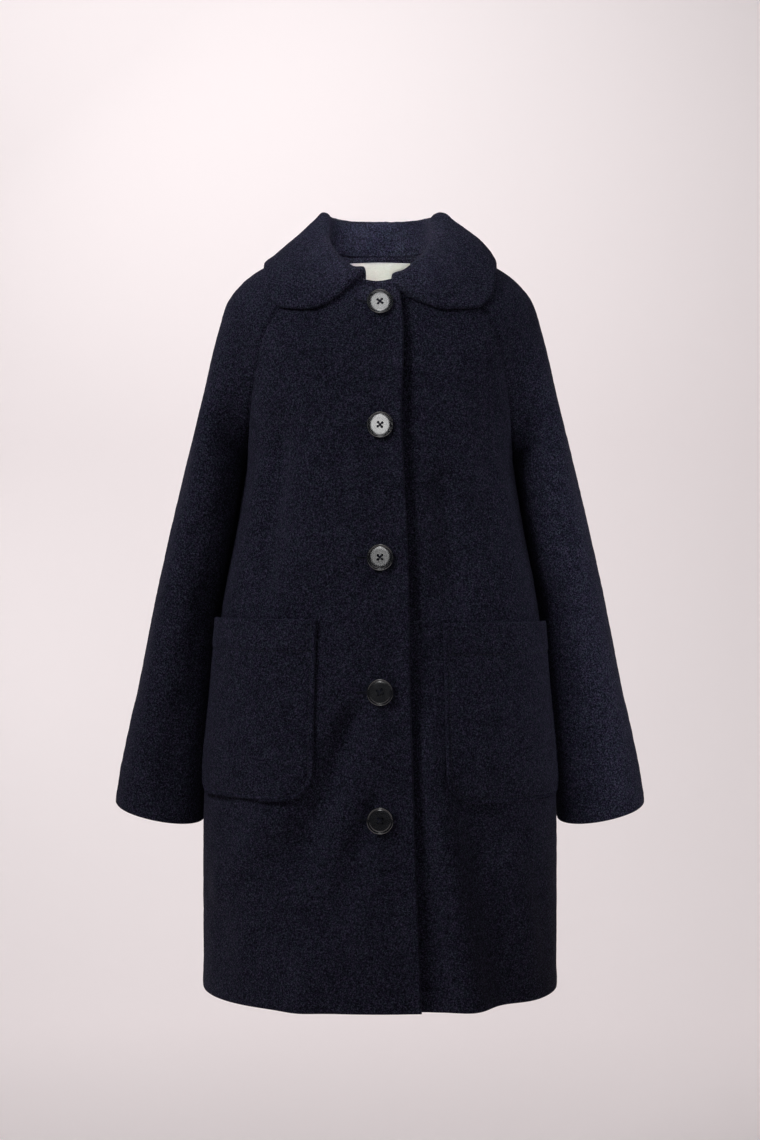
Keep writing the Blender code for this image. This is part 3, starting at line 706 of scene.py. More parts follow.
def front_places(side, count):
    """Return the function that spreads columns from a front's free edge to its seam."""
    def places(half, whole, way):
        reach = np.full(len(half), UNDERLAP)
        if side < 0:
            reach = smooth(-EDGE["z"], EDGE["x"], -half[:, 0, 2])
        edge = np.array([np.interp(-r, x, d) for r, x, d in zip(reach, whole[..., 0], way)])
        return edge[:, None] + spread(way[:, -1] - 0.5 * SEAM_GAP - edge, count)
    return places


def front_folds(side, way, seam, z):
    """Folds of a front, dying away towards its seam."""
    lift = FOLD_DEEPER * fold_lift(FRONT_FOLDS, way * side, z) + fold_lift(FRONT_CREASES, way * side, z)
    if side > 0:
        lift = lift + fold_lift(UNDERLAP_FOLDS, way, z)
    return lift * ease((seam - np.abs(way)) / FOLD_SEAM)


def hem_roll(plain):
    """How far the turned hem stands out: a bell a little above the lower edge."""
    below = run_down(plain)
    return HEM_HEIGHT * bell((below[-1:] - below - HEM_AT) / HEM_WIDE)


def seam_dip(from_seam):
    """How far the cloth sinks beside a pressed seam: a narrow bell."""
    return SEAM_SINK * bell(from_seam / SEAM_WIDE)


def front(name, side, count=92):
    """A front panel: its form, moved out by folds, rolled edge, hem and pressed seam."""
    plain = front_form(side, BODY_STOPS, front_places(side, count))
    across = run(plain)
    from_seam = across[:, -1:] - across
    plain = soften(plain, BODY_STOPS, from_seam)
    way = across - np.array([np.interp(0.0, x, d) for x, d in zip(plain[..., 0], across)])[:, None]
    lift = front_folds(side, way, way[:, -1:], plain[..., 2])
    roll = ROLL_HEIGHT * bell((across - ROLL_AT) / ROLL_WIDE)
    roll = np.maximum(roll, hem_roll(plain)) - seam_dip(from_seam)
    return sew(name, side, plain, lift, roll, "rb" if side < 0 else "bl", "t")


front_right_face = front("front_right", -1.0)
front("front_left", 1.0)

# %% [markdown]
# ## The back
#
# The back is cut on the fold, so one grid runs from seam to seam. It hangs from the shoulders in
# two broad columns with a hollow between them.

# %% Back
def back(name, count=128):
    """The back panel: both halves as one grid, moved out by its folds, hem and pressed seams."""
    whole, way = both_halves(panel_lines(BACK, BODY_STOPS, -1.0))
    places = 0.5 * SEAM_GAP - way[:, -1:] + spread(2 * way[:, -1] - SEAM_GAP, count)
    plain = read_lines(whole, way, places)[:, ::-1]
    way = places[:, ::-1]
    from_seam = np.abs(way).max(axis=1)[:, None] - np.abs(way)
    plain = soften(plain, BODY_STOPS, from_seam)
    lift = fold_lift(BACK_FOLDS, way, plain[..., 2]) + fold_lift(BACK_CREASES, way, plain[..., 2])
    lift *= ease(from_seam / FOLD_SEAM)
    sew(name, 1.0, plain, lift, hem_roll(plain) - seam_dip(from_seam), "b", "t")


back("back")

# %% [markdown]
# ## The sleeves
#
# A raglan sleeve reaches the neck: its upper rows run from the front seam over the shoulder to
# the back seam. Below the underarm the two seams become one, and the rows close into a tube.
# The sleeve hangs a few millimetres clear of the body.

# %% Sleeves
SLEEVE = table(
    "over_x over_y over_z leave_f near_f far_f leave_b near_b far_b dip",
    (69, 2, 0, 63, 17, 17, 42, 17, 17, 0),
    (138, 4, -25, 28, 30, 36, 28, 30, 36, 0),
    (178, 4, -60, 36, 27, 50, 36, 27, 50, 0),
    (194, 5, -104, 46, 22, 63, 46, 24, 63, 0),
    (208, 6, -160, 18, 20, 77, 18, 22, 78, 0),
    (222, 8, -218, -46, 56, 86, -46, 58, 90, 0),
    (233, 9, -262, -90, 90, 90, -90, 97, 97, 0),
    (249, 10, -330, -90, 89, 89, -90, 94, 94, 0),
    (269, 12, -418, -90, 86, 86, -90, 89, 89, 2),
    (291, 14, -524, -90, 80, 80, -90, 82, 82, 4),
    (312, 14, -622, -90, 73, 73, -90, 75, 75, 6),
    (318, 14, -666, -90, 69, 69, -90, 71, 71, 10),
)
INNER = table(
    "z y gap_right gap_left",
    (-340, 10, 0.5, 0.5),
    (-430, 12, 0.5, 0.5),
    (-540, 14, 0.5, 0.6),
    (-640, 14, 0.6, 1.2),
    (-687, 14, 1.0, 3.0),
)
SLEEVE_FOLDS = table(
    FOLD_COLUMNS,
    (-112, -360, -96, -690, -3.5, 14, 20),
    (-128, -215, -122, -430, 4.0, 20, 20),
    (-62, -300, -58, -690, 2.6, 16, 20),
    (-20, -140, -40, -330, -1.8, 12, 16),
    (-125, -300, -62, -372, -2.0, 8, 12),
    (-118, -420, -40, -462, -1.8, 9, 13),
    (-110, -500, -56, -560, 1.6, 9, 12),
    (-30, -420, -14, -560, -1.8, 10, 14),
    (110, -260, 92, -660, -3.0, 16, 22),
    (50, -300, 56, -690, 2.6, 16, 22),
    (120, -320, 46, -390, -1.8, 9, 13),
    (104, -450, 36, -500, -1.8, 10, 14),
    (22, -150, 44, -330, -1.6, 12, 16),
)
UNDERARM_GAP = 0.8
CUFF_STEP = 0.0215


def sleeve_seam(source, side, at):
    """A raglan seam as the sleeve meets it, and below the arm the sleeve's own underarm line."""
    upper = np.stack([source[k][: UNDERARM + 1] for k in "xyz"], axis=1)
    upper[-1, 0] += UNDERARM_GAP
    gap = INNER["gap_right"] if side < 0 else INNER["gap_left"]
    x = smooth(-FRONT["z"][UNDERARM:], FRONT["x"][UNDERARM:], -INNER["z"]) + gap
    line = np.concatenate((upper, np.stack((x, INNER["y"], INNER["z"]), axis=1)))
    return np.stack([read(column, at) for column in line.T], axis=1)


def sleeve_lines(side, at):
    """Sections of a sleeve: two cubic curves each, front seam to over-arm line to back seam."""
    s = {name: read(column, at) for name, column in SLEEVE.items()}
    over = np.stack((s["over_x"], s["over_y"], s["over_z"]), axis=1)
    halves = []
    for source, key, sign in ((FRONT, "f", 1.0), (BACK, "b", -1.0)):
        seam = sleeve_seam(source, side, at)
        leave = np.radians(s["leave_" + key])
        away = np.stack((np.cos(leave), np.sin(leave) * sign, read(source["climb"], at)), axis=1)
        near = seam + s["near_" + key][:, None] * away
        near[:, 2] -= sign * s["dip"]
        far = over.copy()
        far[:, 1] -= sign * s["far_" + key]
        far[:, 2] -= sign * s["dip"]
        halves.append(bezier(seam, near, far, over))
    return np.concatenate((halves[0], halves[1][:, -2::-1]), axis=1)


def sleeve(name, side, count=92):
    """A sleeve: its sections, moved out by folds, the turned cuff and the pressed seams."""
    stops = row_stops(yoke_rows=78, lower_rows=138, hem_step=CUFF_STEP)
    lines = sleeve_lines(side, stops)
    way = run(lines)
    places = 0.5 * SEAM_GAP + spread(way[:, -1] - SEAM_GAP, count)
    plain = read_lines(lines, way, places)
    middle = way[:, way.shape[1] // 2][:, None]
    from_seam = np.minimum(places, way[:, -1:] - places)
    plain = soften(plain, stops, from_seam)
    lift = fold_lift(SLEEVE_FOLDS, places - middle, plain[..., 2]) * ease(from_seam / FOLD_SEAM)
    sew(name, side, plain, lift, hem_roll(plain) - seam_dip(from_seam), "b", "t")


sleeve("sleeve_right", -1.0)
sleeve("sleeve_left", 1.0)

# %% [markdown]
# ## The collar
#
# The collar is two pieces: a stand, sewn upright round the neck, and a fall, sewn to the stand's
# top, which rolls over and lies on the shoulders. For each station along the neck a line climbs
# the inside, turns over the fold as an arc and runs down the leaf as a cubic curve to an edge
# that rests just above the cloth below.

# %% Collar
COLLAR = table(
    "way rise lean bow swell x y z left_x left_z left_swell left_rise",
    (0.00, 43, 4.0, 16, 3, 0, 92, -38, 0, 0, 0, 0),
    (0.13, 43, 4.5, 16, 3, 44, 92, -42, 0, 0, 0, 0),
    (0.26, 43, 5.5, 14, 3, 88, 82, -46, 0, 0, 4, 0),
    (0.37, 42, 6.5, 12, 2, 120, 48, -38, 0, 0, 10, 0),
    (0.47, 41, 7.0, 14, 0, 133, 6, -25, 0, 0, 12, 0),
    (0.56, 32, 5.0, 14, 1, 134, -36, -44, 0, 0, 9, 0),
    (0.64, 23, 2.0, 14, 2, 132, -56, -60, 0, 0, 3, 0),
    (0.71, 17, 1.0, 16, 3, 126, -72, -75, 0, 0, 0, 0),
    (0.77, 13, 0.4, 16, 4, 114, -85, -86, 0, 0, 0, 0),
    (0.83, 11, 0.3, 15, 4, 92, -92, -89, -4, 0, 0, 0),
    (0.88, 10, 0.2, 14, 3, 73, -96, -88, -5, 0, 0, 0),
    (0.92, 10, 0.2, 11, 2, 55, -98, -78, -8, -1, 0, -1),
    (0.96, 11, 0.2, 7, 1, 38, -97, -62, -11, -7, 0, -3),
    (1.00, 13, 0.2, 3, 1, 20, -93, -47, -6, -10, 0, -6),
)
COLLAR_END = {-1.0: 16.0, 1.0: 13.0}
STAND_HEIGHT, STAND_SHARE = 24.0, 0.7
FOLD_RADIUS, FOLD_SHARE, FOLD_WIDER = 8.0, 0.6, 0.5
LEAF_CLEAR, LEAF_PULL = 1.4, 0.33
LEAF_NEIGHBOURS = 12
YOKE_SHARE, YOKE_ROWS, YOKE_COLUMNS = 0.55, 44, 70
LAP_UNDER, LAP_COLUMNS = 24.0, 20
STAND_ROWS = 14
NECK_HALF = 290.0
FOLD_TURNS = np.radians(np.linspace(180.0, 40.0, 13))
COLLAR_ROLL, COLLAR_ROLL_AT, COLLAR_ROLL_WIDE = 1.0, 5.0, 6.0
UP = np.array((0.0, 0.0, 1.0))


def neck_line(side):
    """Half the neck seam: centre back, over the shoulder, round to the collar's end in front."""
    zero = np.zeros(1)
    back_half = panel_lines(BACK, zero, -1.0)[0]
    over = sleeve_lines(side, zero)[0, ::-1]
    reach = CURVE[..., 0]
    front_half = front_form(side, zero, lambda half, whole, way: way[:, -1:] * reach)[0, ::-1]
    front_half = front_half[front_half[:, 0] > COLLAR_END[side]]
    return to_side(np.concatenate((back_half, over[1:], front_half[1:])), side)


def shoulder_points(side):
    """Points and outward directions of the cloth under one half of the collar."""
    at = np.linspace(0.0, UNDERARM * YOKE_SHARE, YOKE_ROWS)
    reach = np.linspace(0.0, 1.0, YOKE_COLUMNS)[None, :]
    ahead = front_form(side, at, lambda half, whole, way: way[:, -1:] * reach)
    grids = [ahead, sleeve_lines(side, at)[:, ::4], panel_lines(BACK, at, -1.0)[:, ::-2]]
    if side > 0:
        lap = np.linspace(-LAP_UNDER, 0.0, LAP_COLUMNS)[None, :]
        grids.append(front_form(-1.0, at, lambda half, whole, way: 0 * way[:, -1:] + lap) * FLIP)
    points = [g.reshape(-1, 3) for g in grids]
    outward = [normals(g).reshape(-1, 3) for g in grids]
    if side > 0:
        outward[-1] = outward[-1] * -1.0
    return to_side(np.concatenate(points), side), to_side(np.concatenate(outward), side)


def collar_half(side, stations, leaf_points):
    """One half of the collar: lines of the stand and of the fall for every station."""
    neck = neck_line(side)[None]
    way = run(neck)
    foot = read_lines(neck, way, stations[None] * way[:, -1:])[0]
    along = np.gradient(foot, axis=0)
    along[0] = (side, 0.0, 0.0)
    out = unit(np.stack((along[:, 1], -along[:, 0], np.zeros(len(along))), axis=1) * -side)
    size = {name: smooth(COLLAR["way"], column, stations) for name, column in COLLAR.items()}
    guide = np.stack((size["x"], size["y"], size["z"]), axis=1)
    if side > 0:
        guide[:, 0] += size["left_x"]
        guide[:, 2] += size["left_z"]
        size["swell"] = size["swell"] + size["left_swell"]
        size["rise"] = size["rise"] + size["left_rise"]
    guide[:, 0] *= side
    points, outward = shoulder_points(side)
    gaps = np.linalg.norm(points[None] - guide[:, None], axis=2)
    close = np.argsort(gaps, axis=1)[:, :LEAF_NEIGHBOURS]
    pull = unit(outward[close].mean(axis=1))
    height = np.sum((guide - points[close[:, 0]]) * pull, axis=1)
    edge = guide + pull * (WALL + LEAF_CLEAR - height)[:, None]
    rise, lean = size["rise"][:, None], size["lean"][:, None]
    wider = FOLD_RADIUS + FOLD_WIDER * np.clip(size["left_swell"], 0.0, None)[:, None] * (side > 0)
    radius = np.minimum(wider, FOLD_SHARE * rise)
    stand = np.minimum(STAND_HEIGHT, STAND_SHARE * (rise - radius))
    base = foot - WALL * out + SEAM_GAP * UP
    top = foot - (WALL + lean) * out + (rise - radius) * UP
    split = base + (top - base) * stand / (rise - radius)
    centre = top + radius * out
    turns = FOLD_TURNS[None, :, None]
    arc = centre[:, None] + radius[:, None] * (np.cos(turns) * out[:, None] + np.sin(turns) * UP)
    tangent = math.sin(FOLD_TURNS[-1]) * out - math.cos(FOLD_TURNS[-1]) * UP
    start = arc[:, -1]
    far = edge - LEAF_PULL * (edge - start) + size["swell"][:, None] * (out + UP)
    leaf = bezier(start, start + size["bow"][:, None] * tangent, far, edge)
    root = split + SEAM_GAP * unit(top - split)
    leaf = np.concatenate((root[:, None], arc, leaf[:, 1:]), axis=1)
    length = run(leaf)
    leaf = read_lines(leaf, length, spread(length[:, -1], leaf_points))
    wall = np.stack((base, split), axis=1)
    height = run(wall)
    return read_lines(wall, height, height[:, -1:] * np.linspace(0.0, 1.0, STAND_ROWS)), leaf


def collar(side_stations=120, leaf_points=44):
    """The stand and the fall as two cloth pieces, each from the left end to the right end."""
    strip = EDGE_STRIP / NECK_HALF
    stations = np.linspace(0.0, 1.0 - strip[-1], side_stations)
    stations = np.concatenate((stations, 1.0 - strip[-2::-1]))
    left_wall, left_leaf = collar_half(1.0, stations, leaf_points)
    right_wall, right_leaf = collar_half(-1.0, stations, leaf_points)
    stand = np.concatenate((left_wall[::-1], right_wall[1:])).transpose(1, 0, 2)
    fall = np.concatenate((left_leaf[::-1], right_leaf[1:])).transpose(1, 0, 2)
    piece, _ = wool_shell("collar_stand", stand, nap(stand), "rl", "tb")
    declare_cloth(stand)
    below, across = run_down(fall), run(fall)
    from_edge = np.minimum(below[-1:] - below, np.minimum(across, across[:, -1:] - across))
    roll = COLLAR_ROLL * bell((from_edge - COLLAR_ROLL_AT) / COLLAR_ROLL_WIDE)
    piece, _ = wool_shell("collar_fall", fall, roll + nap(fall), "rbl", "t")
    declare_cloth(fall)


collar()

# %% [markdown]
# ## The patch pockets
#
# A pocket lies on the front, so it is made from the front's own points, moved out. Its mouth is
# turned down in a deep hem and stitched across, its sides are topstitched a few millimetres in,
# and the outer top corner stands away from the coat. Stitching pulls the cloth down, so every
# row of stitches lies in a shallow groove.

# %% Pockets
POCKET = table(
    "z inner outer",
    (-444, 71, 252),
    (-520, 73, 256),
    (-664, 76, 262),
)
POCKET_TOP, POCKET_FOOT = -444.0, -648.0
POCKET_DROP = 4.0
POCKET_CORNER = 34.0
POCKET_LIFT, POCKET_GAPE, POCKET_BULGE = 0.8, 6.0, 2.5
HEM_BAND = 36.0
BAND_RAISE = 0.9
STITCH_IN = 6.0
BAND_END = 11.0
GROOVE_DEPTH, GROOVE_WIDE = 0.9, 1.8
GAPE_REACH = 2.2
BAND_AHEAD, BAND_FADE = 2.0, 3.0
SIDE_FROM, SIDE_FADE = 6.0, 8.0
END_SHARE = 0.8
RIM_HEIGHT, RIM_AT, RIM_WIDE = 0.7, 2.6, 2.2


def row_at_height(z):
    """The place of the section of a front that lies at height z below the arm."""
    tries = np.linspace(UNDERARM, LAST_ROW, 600)
    return np.interp(-z, -read(FRONT["z"], tries), tries)


def outline_distance(s, z, inner, outer):
    """Distance in from a pocket's sides and foot, round its two lower corners."""
    side = np.minimum(s - inner, outer - s)
    foot = z - POCKET_FOOT
    corner = POCKET_CORNER - np.hypot(POCKET_CORNER - side, POCKET_CORNER - foot)
    return np.where((side < POCKET_CORNER) & (foot < POCKET_CORNER), corner, np.minimum(side, foot))


def pocket(name, side, rows=96, columns=96):
    """A patch pocket: the front's points moved out, with its band, grooves and loose mouth."""
    depth = POCKET_TOP - POCKET_FOOT
    straight = 1.0 - POCKET_CORNER / depth
    turn = 1.0 - np.sin(np.linspace(0.0, math.pi / 2, 22))
    down = np.concatenate((EDGE_STRIP / depth, np.linspace(EDGE_STRIP[-1] / depth, straight, rows)[1:],
                           1.0 - (1.0 - straight) * turn[1:]))
    z = POCKET_TOP - down * depth
    at = row_at_height(z - (POCKET_DROP if side > 0 else 0.0))
    inner = np.interp(-z, -POCKET["z"], POCKET["inner"])
    outer = np.interp(-z, -POCKET["z"], POCKET["outer"])
    low = np.clip(POCKET_CORNER - (z - POCKET_FOOT), 0.0, POCKET_CORNER)
    cut = POCKET_CORNER - np.sqrt(POCKET_CORNER ** 2 - low ** 2)
    s = (inner + cut)[:, None] + spread(outer - inner - 2 * cut, columns)
    plain = front_form(side, at, lambda half, whole, way: s)
    seam = run(panel_lines(FRONT, at, 1.0))[:, -1:]
    lift = front_folds(side, s, seam, plain[..., 2])
    share = (s - inner[:, None]) / (outer - inner)[:, None]
    lift += POCKET_LIFT + WALL + POCKET_BULGE * 4 * share * (1 - share) * (1 - down[:, None] ** 4)
    mouth = np.clip(1 - GAPE_REACH * down[:, None], 0.0, 1.0)
    lift += POCKET_GAPE * share ** 2 * (1 - share ** 6) * mouth
    below = (POCKET_TOP - z)[:, None]
    rim = outline_distance(s, z[:, None], inner[:, None], outer[:, None])
    roll = BAND_RAISE * (1 - ease((below - HEM_BAND + BAND_AHEAD) / BAND_FADE)) + 0.0 * s
    roll -= GROOVE_DEPTH * bell((below - HEM_BAND) / GROOVE_WIDE)
    roll -= GROOVE_DEPTH * bell((rim - STITCH_IN) / GROOVE_WIDE) * ease((below - SIDE_FROM) / SIDE_FADE)
    inner_end = s - inner[:, None] - BAND_END
    roll -= END_SHARE * GROOVE_DEPTH * bell(inner_end / GROOVE_WIDE) * (below < HEM_BAND)
    roll += RIM_HEIGHT * bell((rim - RIM_AT) / RIM_WIDE)
    face = sew(name, side, plain, lift, roll)
    return face, z, s if side > 0 else s[:, ::-1]


pocket_right = pocket("pocket_right", -1.0)
pocket_left = pocket("pocket_left", 1.0)

# %% [markdown]
# ## Rows of stitches
#
# A stitch is a short length of thread that dives into the cloth at both ends. Hundreds of them
# are one mesh: a small capsule is worked out once, then copied to every place along a path by
# adding arrays.

# %% Stitching
STITCH_LENGTH, STITCH_PITCH, STITCH_RADIUS = 3.4, 4.2, 0.42
STITCH_SIDES, STITCH_RINGS = 6, 7
STITCH_RISE, STITCH_DIVE = 0.55, 1.3


def tube_faces(rings, sides):
    """The four-sided faces between the rings of a tube."""
    index = np.arange(rings * sides).reshape(rings, sides)
    nxt = np.roll(index, -1, axis=1)
    return np.stack((index[:-1], nxt[:-1], nxt[1:], index[1:]), axis=-1).reshape(-1, 4)


def stitch_row(path, out, length=STITCH_LENGTH, pitch=STITCH_PITCH, radius=STITCH_RADIUS):
    """Capsules along a path: rings of points round short arcs that sink at both ends."""
    way = run(path[None])[0]
    count = max(2, int(way[-1] / pitch))
    middle = (np.arange(count) + 0.5) * way[-1] / count
    t = np.linspace(-1.0, 1.0, STITCH_RINGS)
    place = middle[:, None] + 0.5 * length * t[None, :]
    centre = np.stack([np.interp(place, way, x) for x in path.T], axis=-1)
    lift = unit(np.stack([np.interp(place, way, x) for x in out.T], axis=-1))
    along = unit(np.gradient(centre, axis=1))
    beside = unit(np.cross(along, lift))
    centre = centre + lift * (radius * (STITCH_RISE - STITCH_DIVE * t * t))[None, :, None]
    thick = radius * np.sqrt(np.clip(1.02 - t ** 4, 0.0, None))
    angle = np.linspace(0.0, 2 * math.pi, STITCH_SIDES, endpoint=False)
    ring = np.cos(angle)[:, None] * beside[:, :, None] + np.sin(angle)[:, None] * lift[:, :, None]
    points = centre[:, :, None] + ring * thick[None, :, None, None]
    first = np.arange(STITCH_SIDES)
    last = first + (STITCH_RINGS - 1) * STITCH_SIDES
    caps = np.stack((first[::-1], last))
    caps = np.concatenate((caps[:, [0, 1, 2, 3]], caps[:, [0, 3, 4, 5]]))
    faces = np.concatenate((tube_faces(STITCH_RINGS, STITCH_SIDES), caps))
    offset = np.arange(count)[:, None, None] * STITCH_RINGS * STITCH_SIDES
    return points.reshape(-1, 3), (faces[None] + offset).reshape(-1, 4)


def join_rows(rows):
    """Join several meshes into one list of points and one of faces."""
    points, faces, base = [], [], 0
    for row_points, row_faces in rows:
        points.append(row_points)
        faces.append(row_faces + base)
        base += len(row_points)
    return np.concatenate(points), np.concatenate(faces)


def trace(face, heights, ways, s, z):
    """Points and directions of a face at ways s across it and heights z.

    heights holds each row's height and ways each point's way across; both are read backwards to
    find the row and the column.
    """
    count = np.arange(len(face))
    rows = np.interp(-z, -heights, count)
    line = np.stack([np.interp(rows, count, way) for way in ways.T], axis=1)
    order = 1 if line[0, 0] < line[0, -1] else -1
    steps = np.arange(line.shape[1])[::order]
    columns = np.array([np.interp(x, row[::order], steps) for x, row in zip(s, line)])
    return grid_at(face, rows, columns), unit(grid_at(normals(face), rows, columns))


def pocket_stitches(name, made):
    """Topstitching down one side, round the foot and up the other, and across the hem."""
    turn = np.linspace(0.0, math.pi / 2, 24)
    small = POCKET_CORNER - STITCH_IN
    low = POCKET_FOOT + STITCH_IN
    fall = np.linspace(POCKET_TOP - 5.0, low + small, 80)
    inner = np.interp(-fall, -POCKET["z"], POCKET["inner"]) + STITCH_IN
    outer = np.interp(-fall, -POCKET["z"], POCKET["outer"]) - STITCH_IN
    foot = np.linspace(inner[-1] + small, outer[-1] - small, 60)
    s = np.concatenate((inner, inner[-1] + small * (1 - np.cos(turn)), foot,
                        outer[-1] - small * (1 - np.cos(turn[::-1])), outer[::-1]))
    z = np.concatenate((fall, low + small * (1 - np.sin(turn)), np.full(60, low),
                        low + small * (1 - np.sin(turn[::-1])), fall[::-1]))
    rows = [stitch_row(*trace(*made, s, z))]
    across = np.linspace(inner[0] + 1.0, outer[0] - 1.0, 80)
    rows.append(stitch_row(*trace(*made, across, np.full(80, POCKET_TOP - HEM_BAND))))
    drop = np.linspace(POCKET_TOP - 4.0, POCKET_TOP - HEM_BAND, 30)
    rows.append(stitch_row(*trace(*made, np.full(30, inner[0] - STITCH_IN + BAND_END), drop)))
    add_piece(name, *join_rows(rows), THREAD, "wool")


pocket_stitches("pocket_right_stitches", pocket_right)
pocket_stitches("pocket_left_stitches", pocket_left)

# %% [markdown]
# ## Buttons
#
# Each button is turned: a profile with a flat dish, a raised rim and a rounded flank is carried
# once round its axis. Four holes are bored with a Boolean, which is quicker to trust than cutting
# a round grid by hand. Two crossing bundles of thread then tie it down.

# %% Buttons
BUTTON_HEIGHTS = (-82.0, -224.0, -374.0, -525.0, -668.0)
BUTTON_SPINS = (0.12, -0.1, 0.05, 0.3, -0.05)
BUTTON_RIM, BUTTON_DISH = 4.6, 3.0
BUTTON_HOLE, BUTTON_PITCH = 1.5, 3.3
BUTTON_SIDES, BUTTON_SHARP = 96, 50.0
TILT_REACH = 12.0
STRAND_RADIUS, STRAND_APART, STRAND_OVER = 0.34, 0.5, 0.75
STRAND_CROSS, STRAND_DIVE, STRAND_REACH = 0.5, 3.2, 0.35
BUTTON_PROFILE = table(
    "radius height",
    (0.0, 3.10),
    (3.0, 3.10),
    (6.0, 3.10),
    (9.0, 3.10),
    (11.4, 3.12),
    (12.0, 3.06),
    (12.3, 2.90),
    (12.6, 2.80),
    (12.9, 2.95),
    (13.1, 3.45),
    (13.4, 4.10),
    (13.8, 4.50),
    (14.2, 4.60),
    (14.6, 4.48),
    (14.95, 4.08),
    (15.15, 3.45),
    (15.2, 2.85),
    (15.0, 2.20),
    (14.4, 1.66),
    (12.6, 0.90),
    (9.0, 0.05),
    (4.0, 0.00),
    (0.0, 0.00),
)


def bored_button():
    """Carry the profile round the axis and bore the four holes; return the mesh."""
    angle = np.linspace(0.0, 2 * math.pi, BUTTON_SIDES, endpoint=False)
    radius, height = BUTTON_PROFILE["radius"][:, None], BUTTON_PROFILE["height"][:, None]
    ring = np.stack((radius * np.cos(angle), radius * np.sin(angle), height + 0 * angle), axis=-1)
    index = np.arange(ring[..., 0].size).reshape(ring.shape[:2])
    nxt = np.roll(index, -1, axis=1)
    faces = np.stack((index[:-1], index[1:], nxt[1:], nxt[:-1]), axis=-1).reshape(-1, 4)
    blank = bpy.data.meshes.new("button_blank")
    blank.from_pydata(ring.reshape(-1, 3).tolist(), [], faces.tolist())
    work = bmesh.new()
    work.from_mesh(blank)
    bmesh.ops.remove_doubles(work, verts=work.verts, dist=0.0001)
    bmesh.ops.recalc_face_normals(work, faces=work.faces)
    work.to_mesh(blank)
    work.clear()
    for k in range(4):
        turn = math.pi * (0.25 + 0.5 * k)
        place = Vector((math.cos(turn), math.sin(turn), 0.0)) * BUTTON_PITCH
        bmesh.ops.create_cone(work, cap_ends=True, segments=24, radius1=BUTTON_HOLE,
                              radius2=BUTTON_HOLE, depth=30.0, matrix=Matrix.Translation(place))
    drill = bpy.data.meshes.new("button_drill")
    work.to_mesh(drill)
    work.free()
    body, tool = show("blank", blank), show("drill", drill)
    bored = body.modifiers.new("bored", "BOOLEAN")
    bored.object = tool
    graph = bpy.context.evaluated_depsgraph_get()
    made = bpy.data.meshes.new_from_object(body.evaluated_get(graph))
    for thing in (body, tool):
        bpy.data.objects.remove(thing)
    return made


def thread_tube(points, radius, sides=8):
    """A closed tube round a line of points, with pointed ends."""
    along = unit(np.gradient(points, axis=0))
    beside = unit(np.cross(along, UP))
    over = np.cross(beside, along)
    angle = np.linspace(0.0, 2 * math.pi, sides, endpoint=False)
    thick = radius * np.sqrt(np.clip(1.01 - np.linspace(-1, 1, len(points)) ** 8, 0, None))
    ring = np.cos(angle)[:, None] * beside[:, None] + np.sin(angle)[:, None] * over[:, None]
    tube = points[:, None] + ring * thick[:, None, None]
    return tube.reshape(-1, 3), tube_faces(len(points), sides)


def cross_thread():
    """Two crossing bundles of three strands, each dipping into the holes at its ends."""
    t = np.linspace(-1.0, 1.0, 25)
    rows = []
    for turn in (0.25, 0.75):
        ahead = np.array((math.cos(math.pi * turn), math.sin(math.pi * turn), 0.0))
        aside = np.array((-ahead[1], ahead[0], 0.0))
        for strand in (-1, 0, 1):
            height = BUTTON_DISH + STRAND_OVER - STRAND_DIVE * np.abs(t) ** 7
            height += STRAND_CROSS * (turn > 0.5) * bell(t * 2.2)
            line = ahead * (t * (BUTTON_PITCH + STRAND_REACH))[:, None] + UP * height[:, None]
            rows.append(thread_tube(line + aside * strand * STRAND_APART, STRAND_RADIUS))
    return join_rows(rows)


button_form = bored_button()
button_points = np.empty(len(button_form.vertices) * 3)
button_form.vertices.foreach_get("co", button_points)
button_points = button_points.reshape(-1, 3)
button_faces = [tuple(face.vertices) for face in button_form.polygons]
thread_points, thread_faces = cross_thread()


def seat(points, low, high, tilt, spin):
    """Turn a button about its axis, lean it with the cloth and set it in its solid's box."""
    c, s = math.cos(spin), math.sin(spin)
    x, y, z = points[:, 0] * c - points[:, 1] * s, points[:, 0] * s + points[:, 1] * c, points[:, 2]
    middle = z - 0.5 * BUTTON_RIM
    lean_y = -middle * math.cos(tilt) + y * math.sin(tilt)
    lean_z = y * math.cos(tilt) + middle * math.sin(tilt)
    return np.stack((x, lean_y, lean_z), axis=1) + 0.5 * (np.array(low) + np.array(high)) / MM


def add_button(number, z, spin):
    """A button and its thread, on the front's slope at that height."""
    name = "button_" + str(number)
    low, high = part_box(name)
    near = np.array((z - TILT_REACH, z + TILT_REACH))
    depth = smooth(-FRONT["centre_z"], FRONT["centre_y"], -near)
    tilt = math.atan((depth[1] - depth[0]) / (2 * TILT_REACH))
    turned = seat(button_points, low, high, tilt, spin)
    add_piece(name + "_turned", turned, button_faces, BUTTON, "button", (name,), BUTTON_SHARP)
    strands = seat(thread_points, low, high, tilt, spin)
    add_piece(name + "_thread", strands, thread_faces, THREAD, "wool")


for number, (z, spin) in enumerate(zip(BUTTON_HEIGHTS, BUTTON_SPINS), start=1):
    add_button(number, z, spin)

# %% [markdown]
# ## Buttonholes
#
# Beside each button the end of its hole shows as a short slit, bound with close stitches. A slit
# is two thin ridges of thread that meet at the ends, so it is a tube along a long flat loop laid
# on the front's face.

# %% Buttonholes
HOLE_FROM, HOLE_TO, HOLE_HALF = -26.0, 4.0, 0.9
HOLE_STITCH = (1.25, 0.85, 0.5)
HOLE_RAISE, HOLE_SQUARE = 0.15, 0.35
HEIGHT_COLUMN = -30


